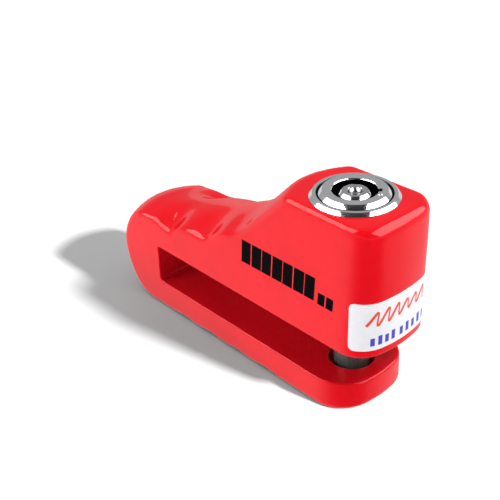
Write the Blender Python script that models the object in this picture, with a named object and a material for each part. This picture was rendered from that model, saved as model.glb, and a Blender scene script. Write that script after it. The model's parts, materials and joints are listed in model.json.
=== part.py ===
"""Press-to-lock disc brake lock: a die-cast C-shaped body with a tubular key cylinder in its head.

Frame: metres, +Z up, +X towards the rounded front of the head. The origin is the point where the
bolt's axis meets the flat underside of the jaw. Everything is drawn with the plunger pressed home.
"""
import math

import bmesh
import bpy
from mathutils import Matrix, Vector

MM = 0.001

# Body: jaw below the disc slot, head above it, heel behind it
SLOT_FLOOR = 8.5 * MM
SLOT_CEILING = 20.44 * MM
SLOT_END = -67.0 * MM
HEAD_TOP = 57.27 * MM
HEAD_FRONT = 16.7 * MM
JAW_TIP = 10.9 * MM
HALF_WIDTH_AT_BASE = 14.05 * MM
SIDE_DRAFT = 0.016
SIDE_TAPER = 0.0148
HEEL_X = -72.5 * MM
HEEL_RADIUS = 15.7 * MM
HEEL_TRIM = 0.55 * MM
PLAN_BLEND = 22.0 * MM

# Front of head and jaw seen from above: a shallow arc between two rounded corners
FRONT_ARC_LOW = 34.0 * MM
FRONT_ARC_HIGH = 60.0 * MM
HEAD_CORNER_LOW = 6.0 * MM
HEAD_CORNER_HIGH = 5.4 * MM
TIP_CORNER = 7.8 * MM

# Rounded edges of the body seen from the side
FOOT_RADIUS = 1.6 * MM
LIP_RADIUS = 0.8 * MM
SLOT_ROOT_RADIUS = 1.6 * MM
SLOT_TOP_RADIUS = 0.6 * MM
BROW_RADIUS = 3.1 * MM
REAR_TURN_RADIUS = 5.0 * MM

# Rounded edges where the body's outline meets its flat sides
HEAD_EDGE = 1.8 * MM
FOOT_EDGE = 1.0 * MM
SLOT_EDGE = 0.4 * MM
EDGE_REACH = 1.2
EDGE_POWER = 2.5

# Crest of the saddle between head and heel, and the finger grooves on both sides of it (x, depth, width)
CREST = ((-16.8, 57.27), (-28.5, 46.2), (-41.4, 39.2), (-55.5, 34.9), (-72.5, 31.4))
GROOVES = ((-62.8, 2.3, 4.4), (-46.2, 1.8, 4.8), (-33.0, 0.9, 4.0))
SPINE_HALF = 0.05
SPINE_FADE = 0.75
FAR_RIM = 0.85
SADDLE_SAG = 3.8 * MM
GRIP_EDGE = 1.2 * MM
HEEL_SAG = 2.2 * MM
REAR_SETBACK = 5.0 * MM
WAVE_DEPTH = 0.45 * MM
WAVE_START = -62.0 * MM
WAVE_END = -14.0 * MM
WAVE_COUNT = 4

# Bolt and the cylinder's bores
TRAVEL = 16.5 * MM
BOLT_RADIUS = 4.95 * MM
BOLT_BOTTOM = 4.2 * MM
BOLT_TOP = 32.9 * MM
JAW_HOLE_RADIUS = 6.15 * MM
JAW_HOLE_BOTTOM = 3.5 * MM
CHAMBER_FLOOR = 24.4 * MM
CHAMBER_RADIUS = 10.6 * MM
BOLT_BORE_RADIUS = BOLT_RADIUS + 0.15 * MM

# Fixed shell with its flange
SHELL_OUTER = 10.5 * MM
SHELL_INNER = 9.3 * MM
SHELL_BOTTOM = 24.7 * MM
FLANGE_RADIUS = 11.5 * MM
FLANGE_TOP = 58.25 * MM
FLANGE_CHAMFER = 0.88 * MM

# Sliding plunger
PLUNGER_RADIUS = 9.2 * MM
PLUNGER_TOP = 59.1 * MM
PLUNGER_BOTTOM = 28.2 * MM
PLUNGER_CHAMFER = 1.0 * MM
PLUNGER_BORE = 7.2 * MM
SPRING_POCKET = 7.7 * MM
KEYWAY_OUTER = 5.75 * MM
KEYWAY_FLOOR = 51.2 * MM
NIB_ANGLE = 38.0
NIB_HALF_WIDTH = 0.75 * MM
RIM_BREAK = 0.2 * MM

# Tubular key mechanism
PIN_COUNT = 7
PIN_CIRCLE = 4.93 * MM
PIN_RADIUS = 0.72 * MM
PIN_HOLE = 0.8 * MM
KEY_PIN_TOP = 50.9 * MM
KEY_PIN_STOP = 46.75 * MM
KEY_PIN_TRAVELS = (1.2, 2.0, 0.8, 1.6, 2.4, 1.0, 1.8)
POST_RADIUS = 4.1 * MM
POST_TOP = 58.75 * MM
POST_CHAMFER = 0.8 * MM
PLUG_RADIUS = 7.1 * MM
PLUG_TOP = 51.1 * MM
PLUG_BOTTOM = 46.7 * MM
TAIL_RADIUS = 1.85 * MM
TAIL_BOTTOM = 36.2 * MM
TAIL_FLATS = 1.9 * MM
TAIL_SHOULDER = 39.4 * MM
BALL_RADIUS = 1.65 * MM
BALL_SOCKET_RADIUS = 1.75 * MM
BALL_SOCKET_DEPTH = 1.4 * MM
SLEEVE_TOP = 46.5 * MM
SLEEVE_BOTTOM = 39.5 * MM
DRIVER_LENGTH = 2.2 * MM
DRIVER_SPRING_BOTTOM = 40.65 * MM
SLEEVE_BORE = TAIL_RADIUS + 0.15 * MM

# Cam, pawl and the carrier that holds the bolt
CAM_RADIUS = 2.6 * MM
CAM_THROW = 0.95 * MM
CAM_SIDE = CAM_THROW / math.sqrt(2)
CLIP_RADIUS = 2.2 * MM
CLIP_BOTTOM = 36.4 * MM
CLIP_TOP = 36.8 * MM
CLIP_WELL_RADIUS = 2.5 * MM
CLIP_WELL_FLOOR = 35.9 * MM
PAWL_BOTTOM = 37.05 * MM
PAWL_TOP = 39.3 * MM
PAWL_TIP = 8.85 * MM
PAWL_NOSE_HALF = 2.5 * MM
PAWL_HALF = 4.5 * MM
PAWL_REAR = 4.9 * MM
PAWL_SHOULDER = 4.15 * MM
CHANNEL_FLOOR = 36.95 * MM
CARRIER_TOP = 39.4 * MM
CARRIER_STEP = 34.0 * MM
CARRIER_BOTTOM = 26.5 * MM
BOSS_RADIUS = 6.2 * MM
BOLT_PIN_Z = 29.5 * MM
BOLT_PIN_RADIUS = 1.0 * MM
CARRIER_PIN_Z = 35.4 * MM
SLEEVE_PIN_Z = 43.0 * MM
DOWEL_RADIUS = 0.6 * MM
RETAINER_Z = 48.6 * MM
RETAINER_RADIUS = 1.25 * MM

# Coil springs: mean coil radius, wire radius, turns
RETURN_COIL = (6.95 * MM, 0.42 * MM, 6.0)
DRIVER_COIL = (0.55 * MM, 0.13 * MM, 4.0)
PAWL_COIL = (0.7 * MM, 0.14 * MM, 3.0)
PAWL_COIL_START = 4.98 * MM
PAWL_COIL_END = 6.35 * MM

# Label wrapped round the front of the head
LABEL_BOTTOM = 22.8 * MM
LABEL_TOP = 36.9 * MM
LABEL_ROWS = 5
LABEL_GAP = 0.1 * MM
LABEL_THICKNESS = 0.2 * MM

WIDTH_STEPS = 16
CLEAR = 0.1 * MM


# ---------------------------------------------------------------- scene helpers

def clear_scene():
    for old in list(bpy.data.objects):
        bpy.data.objects.remove(old)


def material(name, colour, roughness, metallic):
    made = bpy.data.materials.new(name)
    made.use_nodes = True
    shader = made.node_tree.nodes["Principled BSDF"]
    shader.inputs["Base Color"].default_value = (*colour, 1.0)
    shader.inputs["Roughness"].default_value = roughness
    shader.inputs["Metallic"].default_value = metallic
    made.diffuse_color = (*colour, 1.0)
    return made


def add_object(name, mesh_data, finish, parent=None):
    made = bpy.data.objects.new(name, mesh_data)
    bpy.context.scene.collection.objects.link(made)
    if finish:
        mesh_data.materials.clear()
        mesh_data.materials.append(finish)
    if parent:
        made.parent = parent
        made.matrix_parent_inverse = Matrix.Translation(-parent.location)
    return made


def add_empty(name, location, parent=None):
    made = bpy.data.objects.new(name, None)
    bpy.context.scene.collection.objects.link(made)
    made.location = location
    if parent:
        made.parent = parent
        made.location = Vector(location) - parent.location
    return made


def mesh_from(bm, name):
    bmesh.ops.recalc_face_normals(bm, faces=bm.faces)
    data = bpy.data.meshes.new(name)
    bm.to_mesh(data)
    bm.free()
    data.shade_smooth()
    data.set_sharp_from_angle(angle=math.radians(35))
    return data


def turned_mesh(name, profile, segments):
    """Lathe a closed (radius, z) outline about Z."""
    bm = bmesh.new()
    rings = []
    for radius, z in profile:
        if radius < 1e-9:
            rings.append([bm.verts.new((0.0, 0.0, z))])
            continue
        ring = []
        for i in range(segments):
            angle = 2 * math.pi * i / segments
            ring.append(bm.verts.new((radius * math.cos(angle), radius * math.sin(angle), z)))
        rings.append(ring)
    for low, high in zip(rings, rings[1:] + rings[:1]):
        if len(low) == 1 and len(high) == 1:
            continue
        for i in range(segments):
            j = (i + 1) % segments
            corners = [low[i % len(low)], low[j % len(low)], high[j % len(high)], high[i % len(high)]]
            bm.faces.new(list(dict.fromkeys(corners)))
    return mesh_from(bm, name)


def rod_profile(radius, bottom, top, chamfer=0.0):
    if chamfer <= 0:
        return [(0.0, bottom), (radius, bottom), (radius, top), (0.0, top)]
    return [(0.0, bottom), (radius - chamfer, bottom), (radius, bottom + chamfer),
            (radius, top - chamfer), (radius - chamfer, top), (0.0, top)]


def block_mesh(name, low, high):
    bm = bmesh.new()
    bmesh.ops.create_cube(bm, size=1.0)
    size = Vector(high) - Vector(low)
    centre = (Vector(high) + Vector(low)) / 2
    for vert in bm.verts:
        vert.co = Vector(vert.co[i] * size[i] + centre[i] for i in range(3))
    return mesh_from(bm, name)


def coil_mesh(name, coil, bottom, top, steps, sides):
    """Round wire wound about Z, its end turns centred one wire radius inside bottom and top."""
    radius, wire, turns = coil
    bm = bmesh.new()
    rings = []
    count = int(round(turns * steps))
    low, high = bottom + wire, top - wire
    for i in range(count + 1):
        part = i / count
        angle = 2 * math.pi * turns * part
        outward = Vector((math.cos(angle), math.sin(angle), 0.0))
        centre = outward * radius + Vector((0.0, 0.0, low + (high - low) * part))
        ring = []
        for k in range(sides):
            turn = 2 * math.pi * (k + 0.5) / sides
            offset = outward * (wire * math.cos(turn)) + Vector((0.0, 0.0, wire * math.sin(turn)))
            ring.append(bm.verts.new(centre + offset))
        rings.append(ring)
    for before, after in zip(rings, rings[1:]):
        for k in range(sides):
            n = (k + 1) % sides
            bm.faces.new((before[k], before[n], after[n], after[k]))
    bm.faces.new(rings[0])
    bm.faces.new(rings[-1])
    return mesh_from(bm, name)


def cutter(name, mesh_data, parent=None):
    made = add_object(name, mesh_data, None, parent)
    made.hide_render = True
    made.display_type = "WIRE"
    return made


def cut(target, tool, operation="DIFFERENCE"):
    step = target.modifiers.new(tool.name, "BOOLEAN")
    step.operation = operation
    step.solver = "EXACT"
    step.object = tool


def fuse(target, tool):
    cut(target, tool, "UNION")


# ---------------------------------------------------------------- body shape

def half_width(x, z):
    """The flat sides lean in towards the top and run in towards the heel."""
    return HALF_WIDTH_AT_BASE - SIDE_DRAFT * z + SIDE_TAPER * x


def smooth_step(value):
    value = min(max(value, 0.0), 1.0)
    return value * value * (3.0 - 2.0 * value)


def round_off(across, half, radius):
    """Drop of a softly rounded edge at this distance from the mid-plane; it eases in at both ends."""
    reach = EDGE_REACH * radius
    over = min(abs(across) - (half - reach), reach)
    if over <= 0.0:
        return 0.0
    return reach - reach * (1.0 - (over / reach) ** EDGE_POWER) ** (1.0 / EDGE_POWER)


def front_setback(across, z):
    """Distance of the head's front behind its mid-plane line: a shallow arc with rounded corners."""
    rise = smooth_step((z - SLOT_CEILING) / (HEAD_TOP - SLOT_CEILING))
    arc_radius = FRONT_ARC_LOW + (FRONT_ARC_HIGH - FRONT_ARC_LOW) * rise
    corner = HEAD_CORNER_LOW + (HEAD_CORNER_HIGH - HEAD_CORNER_LOW) * rise
    return across * across / (2 * arc_radius) + round_off(across, half_width(0.0, z), corner)


def tip_setback(across, z):
    """The same for the tip of the jaw, whose corners are rounder."""
    return across * across / (2 * FRONT_ARC_LOW) + round_off(across, half_width(0.0, z), TIP_CORNER)


def arc_points(centre, radius, start, stop, count):
    for i in range(count + 1):
        angle = math.radians(start + (stop - start) * i / count)
        yield centre[0] + radius * math.cos(angle), centre[1] + radius * math.sin(angle)


def line_points(start, stop, count):
    """Points from start up to, and not including, stop."""
    for i in range(count):
        part = i / count
        yield start[0] + (stop[0] - start[0]) * part, start[1] + (stop[1] - start[1]) * part


def spline(a, b, c, d, u):
    """Catmull-Rom value between b and c."""
    square = (2 * a - 5 * b + 4 * c - d) * u * u
    cube = (3 * b - a - 3 * c + d) * u * u * u
    return 0.5 * (2 * b + (c - a) * u + square + cube)


def crest_points(steps):
    """Catmull-Rom curve down the crest, from the head's rear edge to the heel."""
    slope = (CREST[0][1] - CREST[1][1]) / (CREST[0][0] - CREST[1][0])
    before = (CREST[0][0] + 12.0, CREST[0][1] + 12.0 * slope)
    after = (2 * CREST[-1][0] - CREST[-2][0], CREST[-1][1])
    chain = [before, *CREST, after]
    for k in range(1, len(chain) - 2):
        for i in range(steps):
            yield tuple(MM * spline(*(point[j] for point in chain[k - 1:k + 3]), i / steps) for j in (0, 1))


def heel_points(count):
    """Near half circle round the heel, slightly flattened where it runs down to the base."""
    for i in range(count + 1):
        angle = math.radians(90.0 + 174.0 * i / count)
        trim = HEEL_TRIM * math.sin(2 * angle) ** 2 if angle > math.pi else 0.0
        radius = HEEL_RADIUS - trim
        yield HEEL_X + radius * math.cos(angle), HEEL_RADIUS + radius * math.sin(angle)


def label_levels():
    step = (LABEL_TOP - LABEL_BOTTOM) / LABEL_ROWS
    return [LABEL_BOTTOM + step * i for i in range(LABEL_ROWS + 1)]


def body_outline():
    """Mid-plane outline (x, z, zone), counter-clockwise seen with +X to the right."""
    out = []

    def take(points, zone):
        out.extend((x, z, zone) for x, z in points)

    take(line_points((HEEL_X, 0.0), (WAVE_START, 0.0), 3), "base")
    waves = 6 * WAVE_COUNT
    for i in range(waves):
        part = i / waves
        lift = WAVE_DEPTH * (0.5 - 0.5 * math.cos(2 * math.pi * WAVE_COUNT * part))
        out.append((WAVE_START + (WAVE_END - WAVE_START) * part, lift, "base"))
    foot, lip = FOOT_RADIUS, LIP_RADIUS
    take(line_points((WAVE_END, 0.0), (JAW_TIP - foot, 0.0), 8), "jaw")
    take(arc_points((JAW_TIP - foot, foot), foot, -90, 0, 3), "jaw")
    take(arc_points((JAW_TIP - lip, SLOT_FLOOR - lip), lip, 0, 90, 3), "jaw")
    root, small = SLOT_ROOT_RADIUS, SLOT_TOP_RADIUS
    take(line_points((6.0 * MM, SLOT_FLOOR), (SLOT_END + root, SLOT_FLOOR), 12), "slot")
    take(arc_points((SLOT_END + root, SLOT_FLOOR + root), root, 270, 180, 3), "slot")
    take(arc_points((SLOT_END + small, SLOT_CEILING - small), small, 180, 90, 2), "slot")
    take(line_points((-60.0 * MM, SLOT_CEILING), (HEAD_FRONT - small, SLOT_CEILING), 14), "head")
    take(arc_points((HEAD_FRONT - small, SLOT_CEILING + small), small, -90, 0, 2), "head")
    take(((HEAD_FRONT, z) for z in label_levels()), "head")
    brow = BROW_RADIUS
    take(line_points((HEAD_FRONT, 41.0 * MM), (HEAD_FRONT, HEAD_TOP - brow), 3), "head")
    take(arc_points((HEAD_FRONT - brow, HEAD_TOP - brow), brow, 0, 90, 5), "head")
    turn = REAR_TURN_RADIUS
    slope = math.atan2(CREST[0][1] - CREST[1][1], CREST[0][0] - CREST[1][0])
    edge = CREST[0][0] * MM + turn * math.tan(slope / 2)
    take(line_points((12.0 * MM, HEAD_TOP), (edge, HEAD_TOP), 8), "head")
    take(arc_points((edge, HEAD_TOP - turn), turn, 90, 90 + math.degrees(slope), 5), "saddle")
    low = edge - turn * math.sin(slope) - 0.6 * MM
    take((p for p in crest_points(11) if p[0] < low), "saddle")
    take(heel_points(22), "heel")
    return out


def groove_depth(x, part):
    total = 0.0
    for centre, depth, width in GROOVES:
        total += depth * MM * math.exp(-((x / MM - centre) / width) ** 2)
    rim = 1.0 - FAR_RIM * smooth_step((part - 0.55) / 0.45)
    return total * rim * smooth_step((abs(part) - SPINE_HALF) / SPINE_FADE)


def saddle_sag(x):
    return SADDLE_SAG + (HEEL_SAG - SADDLE_SAG) * smooth_step((-56.0 * MM - x) / (14.0 * MM))


def heel_sag(x, z):
    """Arching across the heel: most at its back, none where it meets the flat base."""
    angle = math.degrees(math.atan2(z - HEEL_RADIUS, x - HEEL_X)) % 360.0
    back = HEEL_SAG + (SADDLE_SAG - HEEL_SAG) * smooth_step((angle - 95.0) / 60.0)
    return back * (1.0 - smooth_step((angle - 185.0) / 85.0))


def body_point(x, z, normal, zone, part):
    """A mid-plane outline point carried out to a fraction of the half width."""
    half = half_width(x, z)
    across = part * half
    inset, setback = 0.0, 0.0
    if zone == "saddle":
        level = smooth_step((-24.0 * MM - x) / (12.0 * MM))
        inset = level * saddle_sag(x) * part * part + groove_depth(x, part)
        inset += round_off(across, half, HEAD_EDGE + (GRIP_EDGE - HEAD_EDGE) * level)
        setback = -(1.0 - level) * REAR_SETBACK * part * part
    elif zone == "heel":
        inset = heel_sag(x, z) * part * part + round_off(across, half, GRIP_EDGE)
    elif zone == "base":
        inset = round_off(across, half, FOOT_EDGE)
    elif zone == "slot":
        inset = round_off(across, half, SLOT_EDGE)
    nx, nz = normal
    if zone == "head":
        grip = smooth_step((x - HEAD_FRONT + PLAN_BLEND) / PLAN_BLEND)
        setback = grip * front_setback(part * half_width(0.0, z), z)
        if z > HEAD_TOP / 2:
            setback -= smooth_step(-x / (15.0 * MM)) * REAR_SETBACK * part * part
        edge = HEAD_EDGE if z > HEAD_TOP / 2 else SLOT_EDGE
        return x - setback, z - nz * round_off(across, half, edge)
    if zone == "jaw":
        grip = smooth_step((x - JAW_TIP + PLAN_BLEND) / PLAN_BLEND)
        setback = grip * tip_setback(part * half_width(0.0, z), z)
        edge = FOOT_EDGE if z < SLOT_FLOOR / 2 else SLOT_EDGE
        return x - setback, z - nz * round_off(across, half, edge)
    if zone == "slot":
        grip = smooth_step((x - JAW_TIP + PLAN_BLEND) / PLAN_BLEND)
        setback = grip * tip_setback(part * half_width(0.0, z), z)
    return x - nx * inset - setback, z - nz * inset


def outline_normals(points):
    normals = []
    count = len(points)
    for i in range(count):
        x0, z0, _ = points[i - 1]
        x1, z1, _ = points[(i + 1) % count]
        length = math.hypot(x1 - x0, z1 - z0)
        normals.append(((z1 - z0) / length, (x0 - x1) / length))
    return normals


def width_parts(steps):
    """Fractions of the half width, closer together near the sides."""
    return [math.sin(math.pi / 2 * (2 * i / steps - 1)) for i in range(steps + 1)]


def body_mesh():
    points = body_outline()
    normals = outline_normals(points)
    bm = bmesh.new()
    loops = []
    for part in width_parts(WIDTH_STEPS):
        loop = []
        for (x, z, zone), normal in zip(points, normals):
            px, pz = body_point(x, z, normal, zone, part)
            loop.append(bm.verts.new((px, part * half_width(px, pz), pz)))
        loops.append(loop)
    count = len(points)
    for near, far in zip(loops, loops[1:]):
        for i in range(count):
            j = (i + 1) % count
            bm.faces.new((near[i], near[j], far[j], far[i]))
    bm.faces.new(loops[0])
    bm.faces.new(list(reversed(loops[-1])))
    return mesh_from(bm, "lock_body")


def label_mesh():
    """Thin strip that follows the front of the head from one rounded corner to the other."""
    levels = label_levels()
    parts = width_parts(WIDTH_STEPS)[1:-1]
    bm = bmesh.new()
    skins = []
    for offset in (LABEL_GAP, LABEL_GAP + LABEL_THICKNESS):
        rows = []
        for z in levels:
            half = half_width(0.0, z)
            line = []
            for part in parts:
                x = HEAD_FRONT - front_setback(part * half, z)
                line.append(Vector((x, part * half_width(x, z), z)))
            row = []
            for i, point in enumerate(line):
                ahead = line[min(i + 1, len(line) - 1)] - line[max(i - 1, 0)]
                outward = Vector((ahead.y, -ahead.x, 0.0)).normalized()
                row.append(bm.verts.new(point + outward * offset))
            rows.append(row)
        skins.append(rows)
    inner, outer = skins
    last_row, last_col = len(levels) - 1, len(parts) - 1
    for r in range(last_row):
        for c in range(last_col):
            for rows in skins:
                bm.faces.new((rows[r][c], rows[r][c + 1], rows[r + 1][c + 1], rows[r + 1][c]))
    for c in range(last_col):
        for r in (0, last_row):
            bm.faces.new((inner[r][c], inner[r][c + 1], outer[r][c + 1], outer[r][c]))
    for r in range(last_row):
        for c in (0, last_col):
            bm.faces.new((inner[r][c], inner[r + 1][c], outer[r + 1][c], outer[r][c]))
    return mesh_from(bm, "front_label")


# ---------------------------------------------------------------- housing pieces

def cross_rod(name, radius, start, stop, z, angle, segments=16):
    """Cylinder along a radius of the bolt axis, from start to stop at this angle in degrees."""
    data = turned_mesh(name, rod_profile(radius, start, stop), segments)
    lay_down = Matrix.Rotation(math.radians(90), 4, "Y")
    swing = Matrix.Rotation(math.radians(angle), 4, "Z")
    data.transform(Matrix.Translation((0, 0, z)) @ swing @ lay_down)
    return data


def build_housing(looks):
    body = add_object("lock_body", body_mesh(), looks["red_paint"])
    lip = 0.5 * MM
    hole = [(0.0, JAW_HOLE_BOTTOM), (JAW_HOLE_RADIUS, JAW_HOLE_BOTTOM),
            (JAW_HOLE_RADIUS, SLOT_FLOOR - lip), (JAW_HOLE_RADIUS + 2 * lip, SLOT_FLOOR + lip),
            (JAW_HOLE_RADIUS + 2 * lip, SLOT_FLOOR + 3 * lip), (0.0, SLOT_FLOOR + 3 * lip)]
    cut(body, cutter("jaw_hole_cutter", turned_mesh("jaw_hole", hole, 40)))
    bore = [(0.0, SLOT_CEILING - MM), (BOLT_BORE_RADIUS, SLOT_CEILING - MM),
            (BOLT_BORE_RADIUS, CHAMBER_FLOOR), (CHAMBER_RADIUS, CHAMBER_FLOOR),
            (CHAMBER_RADIUS, HEAD_TOP + MM), (0.0, HEAD_TOP + MM)]
    cut(body, cutter("head_bore_cutter", turned_mesh("head_bore", bore, 64)))
    loose = RETAINER_RADIUS + 0.05 * MM
    across = cross_rod("retainer_bore", loose, 8.0 * MM, 16.0 * MM, RETAINER_Z, 90)
    cut(body, cutter("retainer_bore_cutter", across))

    flange_low = HEAD_TOP + CLEAR
    shell_profile = [(SHELL_INNER, SHELL_BOTTOM), (SHELL_OUTER, SHELL_BOTTOM),
                     (SHELL_OUTER, flange_low), (FLANGE_RADIUS, flange_low),
                     (FLANGE_RADIUS - FLANGE_CHAMFER, FLANGE_TOP),
                     (SHELL_INNER + RIM_BREAK, FLANGE_TOP), (SHELL_INNER, FLANGE_TOP - RIM_BREAK)]
    shell = add_object("lock_shell", turned_mesh("lock_shell", shell_profile, 64), looks["chrome"])
    cut(shell, cutter("retainer_slot_cutter", across.copy()))
    for name, lift in (("lower_window_cutter", 0.0), ("upper_window_cutter", TRAVEL)):
        window = block_mesh(name, (-12.0 * MM, -2.8 * MM, PAWL_BOTTOM - 0.2 * MM + lift),
                            (-8.5 * MM, 2.8 * MM, PAWL_TOP + 0.2 * MM + lift))
        cut(shell, cutter(name, window))

    retainer = cross_rod("retaining_pin", RETAINER_RADIUS, 8.5 * MM, 12.4 * MM, RETAINER_Z, 90)
    add_object("retaining_pin", retainer, looks["steel"])
    spring = coil_mesh("return_spring", RETURN_COIL, CHAMBER_FLOOR + CLEAR, CARRIER_STEP - CLEAR, 16, 6)
    add_object("return_spring", spring, looks["spring_steel"])
    add_object("front_label", label_mesh(), looks["white_film"])


# ---------------------------------------------------------------- plunger pieces

def pin_place(index):
    angle = 2 * math.pi * index / PIN_COUNT + math.radians(13)
    return PIN_CIRCLE * math.cos(angle), PIN_CIRCLE * math.sin(angle), 0.0


def pin_hole_cutters(name, bottom, top):
    """One object holding the ring of pin holes, its cylinders clear of one another."""
    bm = bmesh.new()
    for index in range(PIN_COUNT):
        centre = Vector(pin_place(index))
        centre.z = (bottom + top) / 2
        bmesh.ops.create_cone(bm, cap_ends=True, segments=12, radius1=PIN_HOLE, radius2=PIN_HOLE,
                              depth=top - bottom, matrix=Matrix.Translation(centre))
    return cutter(name, mesh_from(bm, name))


def dowel_hole(name, z):
    """Tool for a dowel's hole, on the -Y side."""
    return cutter(name, cross_rod(name, DOWEL_RADIUS + 0.05 * MM, 5.9 * MM, 10.0 * MM, z, -90, 12))


def build_barrel(looks, plunger):
    profile = [(PLUNGER_BORE, CARRIER_STEP), (SPRING_POCKET, CARRIER_STEP),
               (SPRING_POCKET, PLUNGER_BOTTOM), (PLUNGER_RADIUS, PLUNGER_BOTTOM),
               (PLUNGER_RADIUS, PLUNGER_TOP - PLUNGER_CHAMFER),
               (PLUNGER_RADIUS - PLUNGER_CHAMFER, PLUNGER_TOP),
               (KEYWAY_OUTER + RIM_BREAK, PLUNGER_TOP), (KEYWAY_OUTER, PLUNGER_TOP - RIM_BREAK),
               (KEYWAY_OUTER, KEYWAY_FLOOR), (PLUNGER_BORE, KEYWAY_FLOOR)]
    data = turned_mesh("plunger_housing", profile, 64)
    barrel = add_object("plunger_housing", data, looks["chrome"], plunger)
    width = RETAINER_RADIUS + CLEAR
    groove = block_mesh("stop_groove", (-width, 8.3 * MM, RETAINER_Z - TRAVEL - width),
                        (width, 10.0 * MM, RETAINER_Z + width))
    cut(barrel, cutter("stop_groove_cutter", groove))
    window = block_mesh("pawl_window", (-10.0 * MM, -PAWL_NOSE_HALF - CLEAR, PAWL_BOTTOM - CLEAR),
                        (-6.0 * MM, PAWL_NOSE_HALF + CLEAR, PAWL_TOP + CLEAR))
    cut(barrel, cutter("pawl_window_cutter", window))
    notch = block_mesh("nib_notch", (5.0 * MM, -NIB_HALF_WIDTH, KEYWAY_FLOOR + MM),
                       (6.7 * MM, NIB_HALF_WIDTH, PLUNGER_TOP + MM))
    notch.transform(Matrix.Rotation(math.radians(NIB_ANGLE), 4, "Z"))
    cut(barrel, cutter("nib_notch_cutter", notch))
    for name, z in (("sleeve_pin", SLEEVE_PIN_Z), ("carrier_pin", CARRIER_PIN_Z)):
        cut(barrel, dowel_hole(name + "_hole_cutter", z))
        dowel = cross_rod(name, DOWEL_RADIUS, 6.0 * MM, 9.1 * MM, z, -90, 12)
        add_object(name, dowel, looks["steel"], plunger)


def build_carrier(looks, plunger):
    socket = BOLT_RADIUS + CLEAR
    profile = [(0.0, BOLT_TOP + CLEAR), (socket, BOLT_TOP + CLEAR), (socket, CARRIER_BOTTOM),
               (BOSS_RADIUS, CARRIER_BOTTOM), (BOSS_RADIUS, CARRIER_STEP),
               (PLUG_RADIUS, CARRIER_STEP), (PLUG_RADIUS, CARRIER_TOP), (0.0, CARRIER_TOP)]
    data = turned_mesh("latch_carrier", profile, 48)
    carrier = add_object("latch_carrier", data, looks["steel"], plunger)
    above = CARRIER_TOP + 2.0 * MM
    side = PAWL_HALF + CLEAR
    channel = block_mesh("pawl_channel", (-9.0 * MM, -side, CHANNEL_FLOOR), (5.2 * MM, side, above))
    cut(carrier, cutter("pawl_channel_cutter", channel))
    nest = block_mesh("pawl_spring_nest", (4.0 * MM, -1.2 * MM, CHANNEL_FLOOR), (6.4 * MM, 1.2 * MM, above))
    cut(carrier, cutter("pawl_spring_nest_cutter", nest))
    well = turned_mesh("clip_well", rod_profile(CLIP_WELL_RADIUS, CLIP_WELL_FLOOR, 38.0 * MM), 24)
    cut(carrier, cutter("clip_well_cutter", well))
    cross = cross_rod("bolt_pin_hole", BOLT_PIN_RADIUS + 0.05 * MM, -9.0 * MM, 9.0 * MM, BOLT_PIN_Z, 90, 12)
    cut(carrier, cutter("bolt_pin_hole_cutter", cross))
    cut(carrier, dowel_hole("carrier_pin_seat_cutter", CARRIER_PIN_Z))

    tip = 0.8 * MM
    bolt_profile = [(0.0, BOLT_BOTTOM), (BOLT_RADIUS - tip, BOLT_BOTTOM),
                    (BOLT_RADIUS, BOLT_BOTTOM + tip), (BOLT_RADIUS, BOLT_TOP), (0.0, BOLT_TOP)]
    bolt = add_object("lock_bolt", turned_mesh("lock_bolt", bolt_profile, 48), looks["steel"], plunger)
    cut(bolt, cutter("bolt_cross_hole_cutter", cross.copy()))
    reach = BOSS_RADIUS - 0.2 * MM
    cross_pin = cross_rod("bolt_pin", BOLT_PIN_RADIUS, -reach, reach, BOLT_PIN_Z, 90, 12)
    add_object("bolt_pin", cross_pin, looks["steel"], plunger)


def build_drivers(looks, plunger):
    """The fixed half of the pin stack: a brass sleeve with seven sprung driver pins."""
    profile = [(SLEEVE_BORE, SLEEVE_BOTTOM), (PLUG_RADIUS, SLEEVE_BOTTOM),
               (PLUG_RADIUS, SLEEVE_TOP), (SLEEVE_BORE, SLEEVE_TOP)]
    sleeve = add_object("driver_sleeve", turned_mesh("driver_sleeve", profile, 48), looks["brass"], plunger)
    cut(sleeve, pin_hole_cutters("driver_hole_cutters", DRIVER_SPRING_BOTTOM - CLEAR, SLEEVE_TOP + MM))
    cut(sleeve, dowel_hole("sleeve_pin_seat_cutter", SLEEVE_PIN_Z))
    top = SLEEVE_TOP - CLEAR
    driver = turned_mesh("driver_pin", rod_profile(PIN_RADIUS, top - DRIVER_LENGTH, top), 12)
    coil = coil_mesh("driver_spring", DRIVER_COIL, DRIVER_SPRING_BOTTOM,
                     top - DRIVER_LENGTH - 0.05 * MM, 8, 4)
    for index in range(PIN_COUNT):
        for name, data, look in (("driver_pin", driver, "brass"), ("driver_spring", coil, "spring_steel")):
            made = add_object(f"{name}_{index + 1}", data, looks[look], plunger)
            made.location = pin_place(index)


def build_pawl_spring(looks, plunger):
    spring = coil_mesh("pawl_spring", PAWL_COIL, PAWL_COIL_START, PAWL_COIL_END, 8, 4)
    spring.transform(Matrix.Rotation(math.radians(90), 4, "Y"))
    spring.transform(Matrix.Translation((0, 0, (PAWL_BOTTOM + PAWL_TOP) / 2)))
    add_object("pawl_spring", spring, looks["spring_steel"], plunger)


# ---------------------------------------------------------------- spindle, cam and pawl

def square_ring(name, outer, bottom, top, offset, segments):
    """Disc set off from the bolt axis by offset along X and -Y, and its square hole on the axis."""
    data = turned_mesh(name, rod_profile(outer, bottom, top), segments)
    data.transform(Matrix.Translation((offset, -offset, 0.0)))
    half = (TAIL_FLATS + CLEAR) / 2
    return data, block_mesh(name + "_square", (-half, -half, bottom - MM), (half, half, top + MM))


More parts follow.
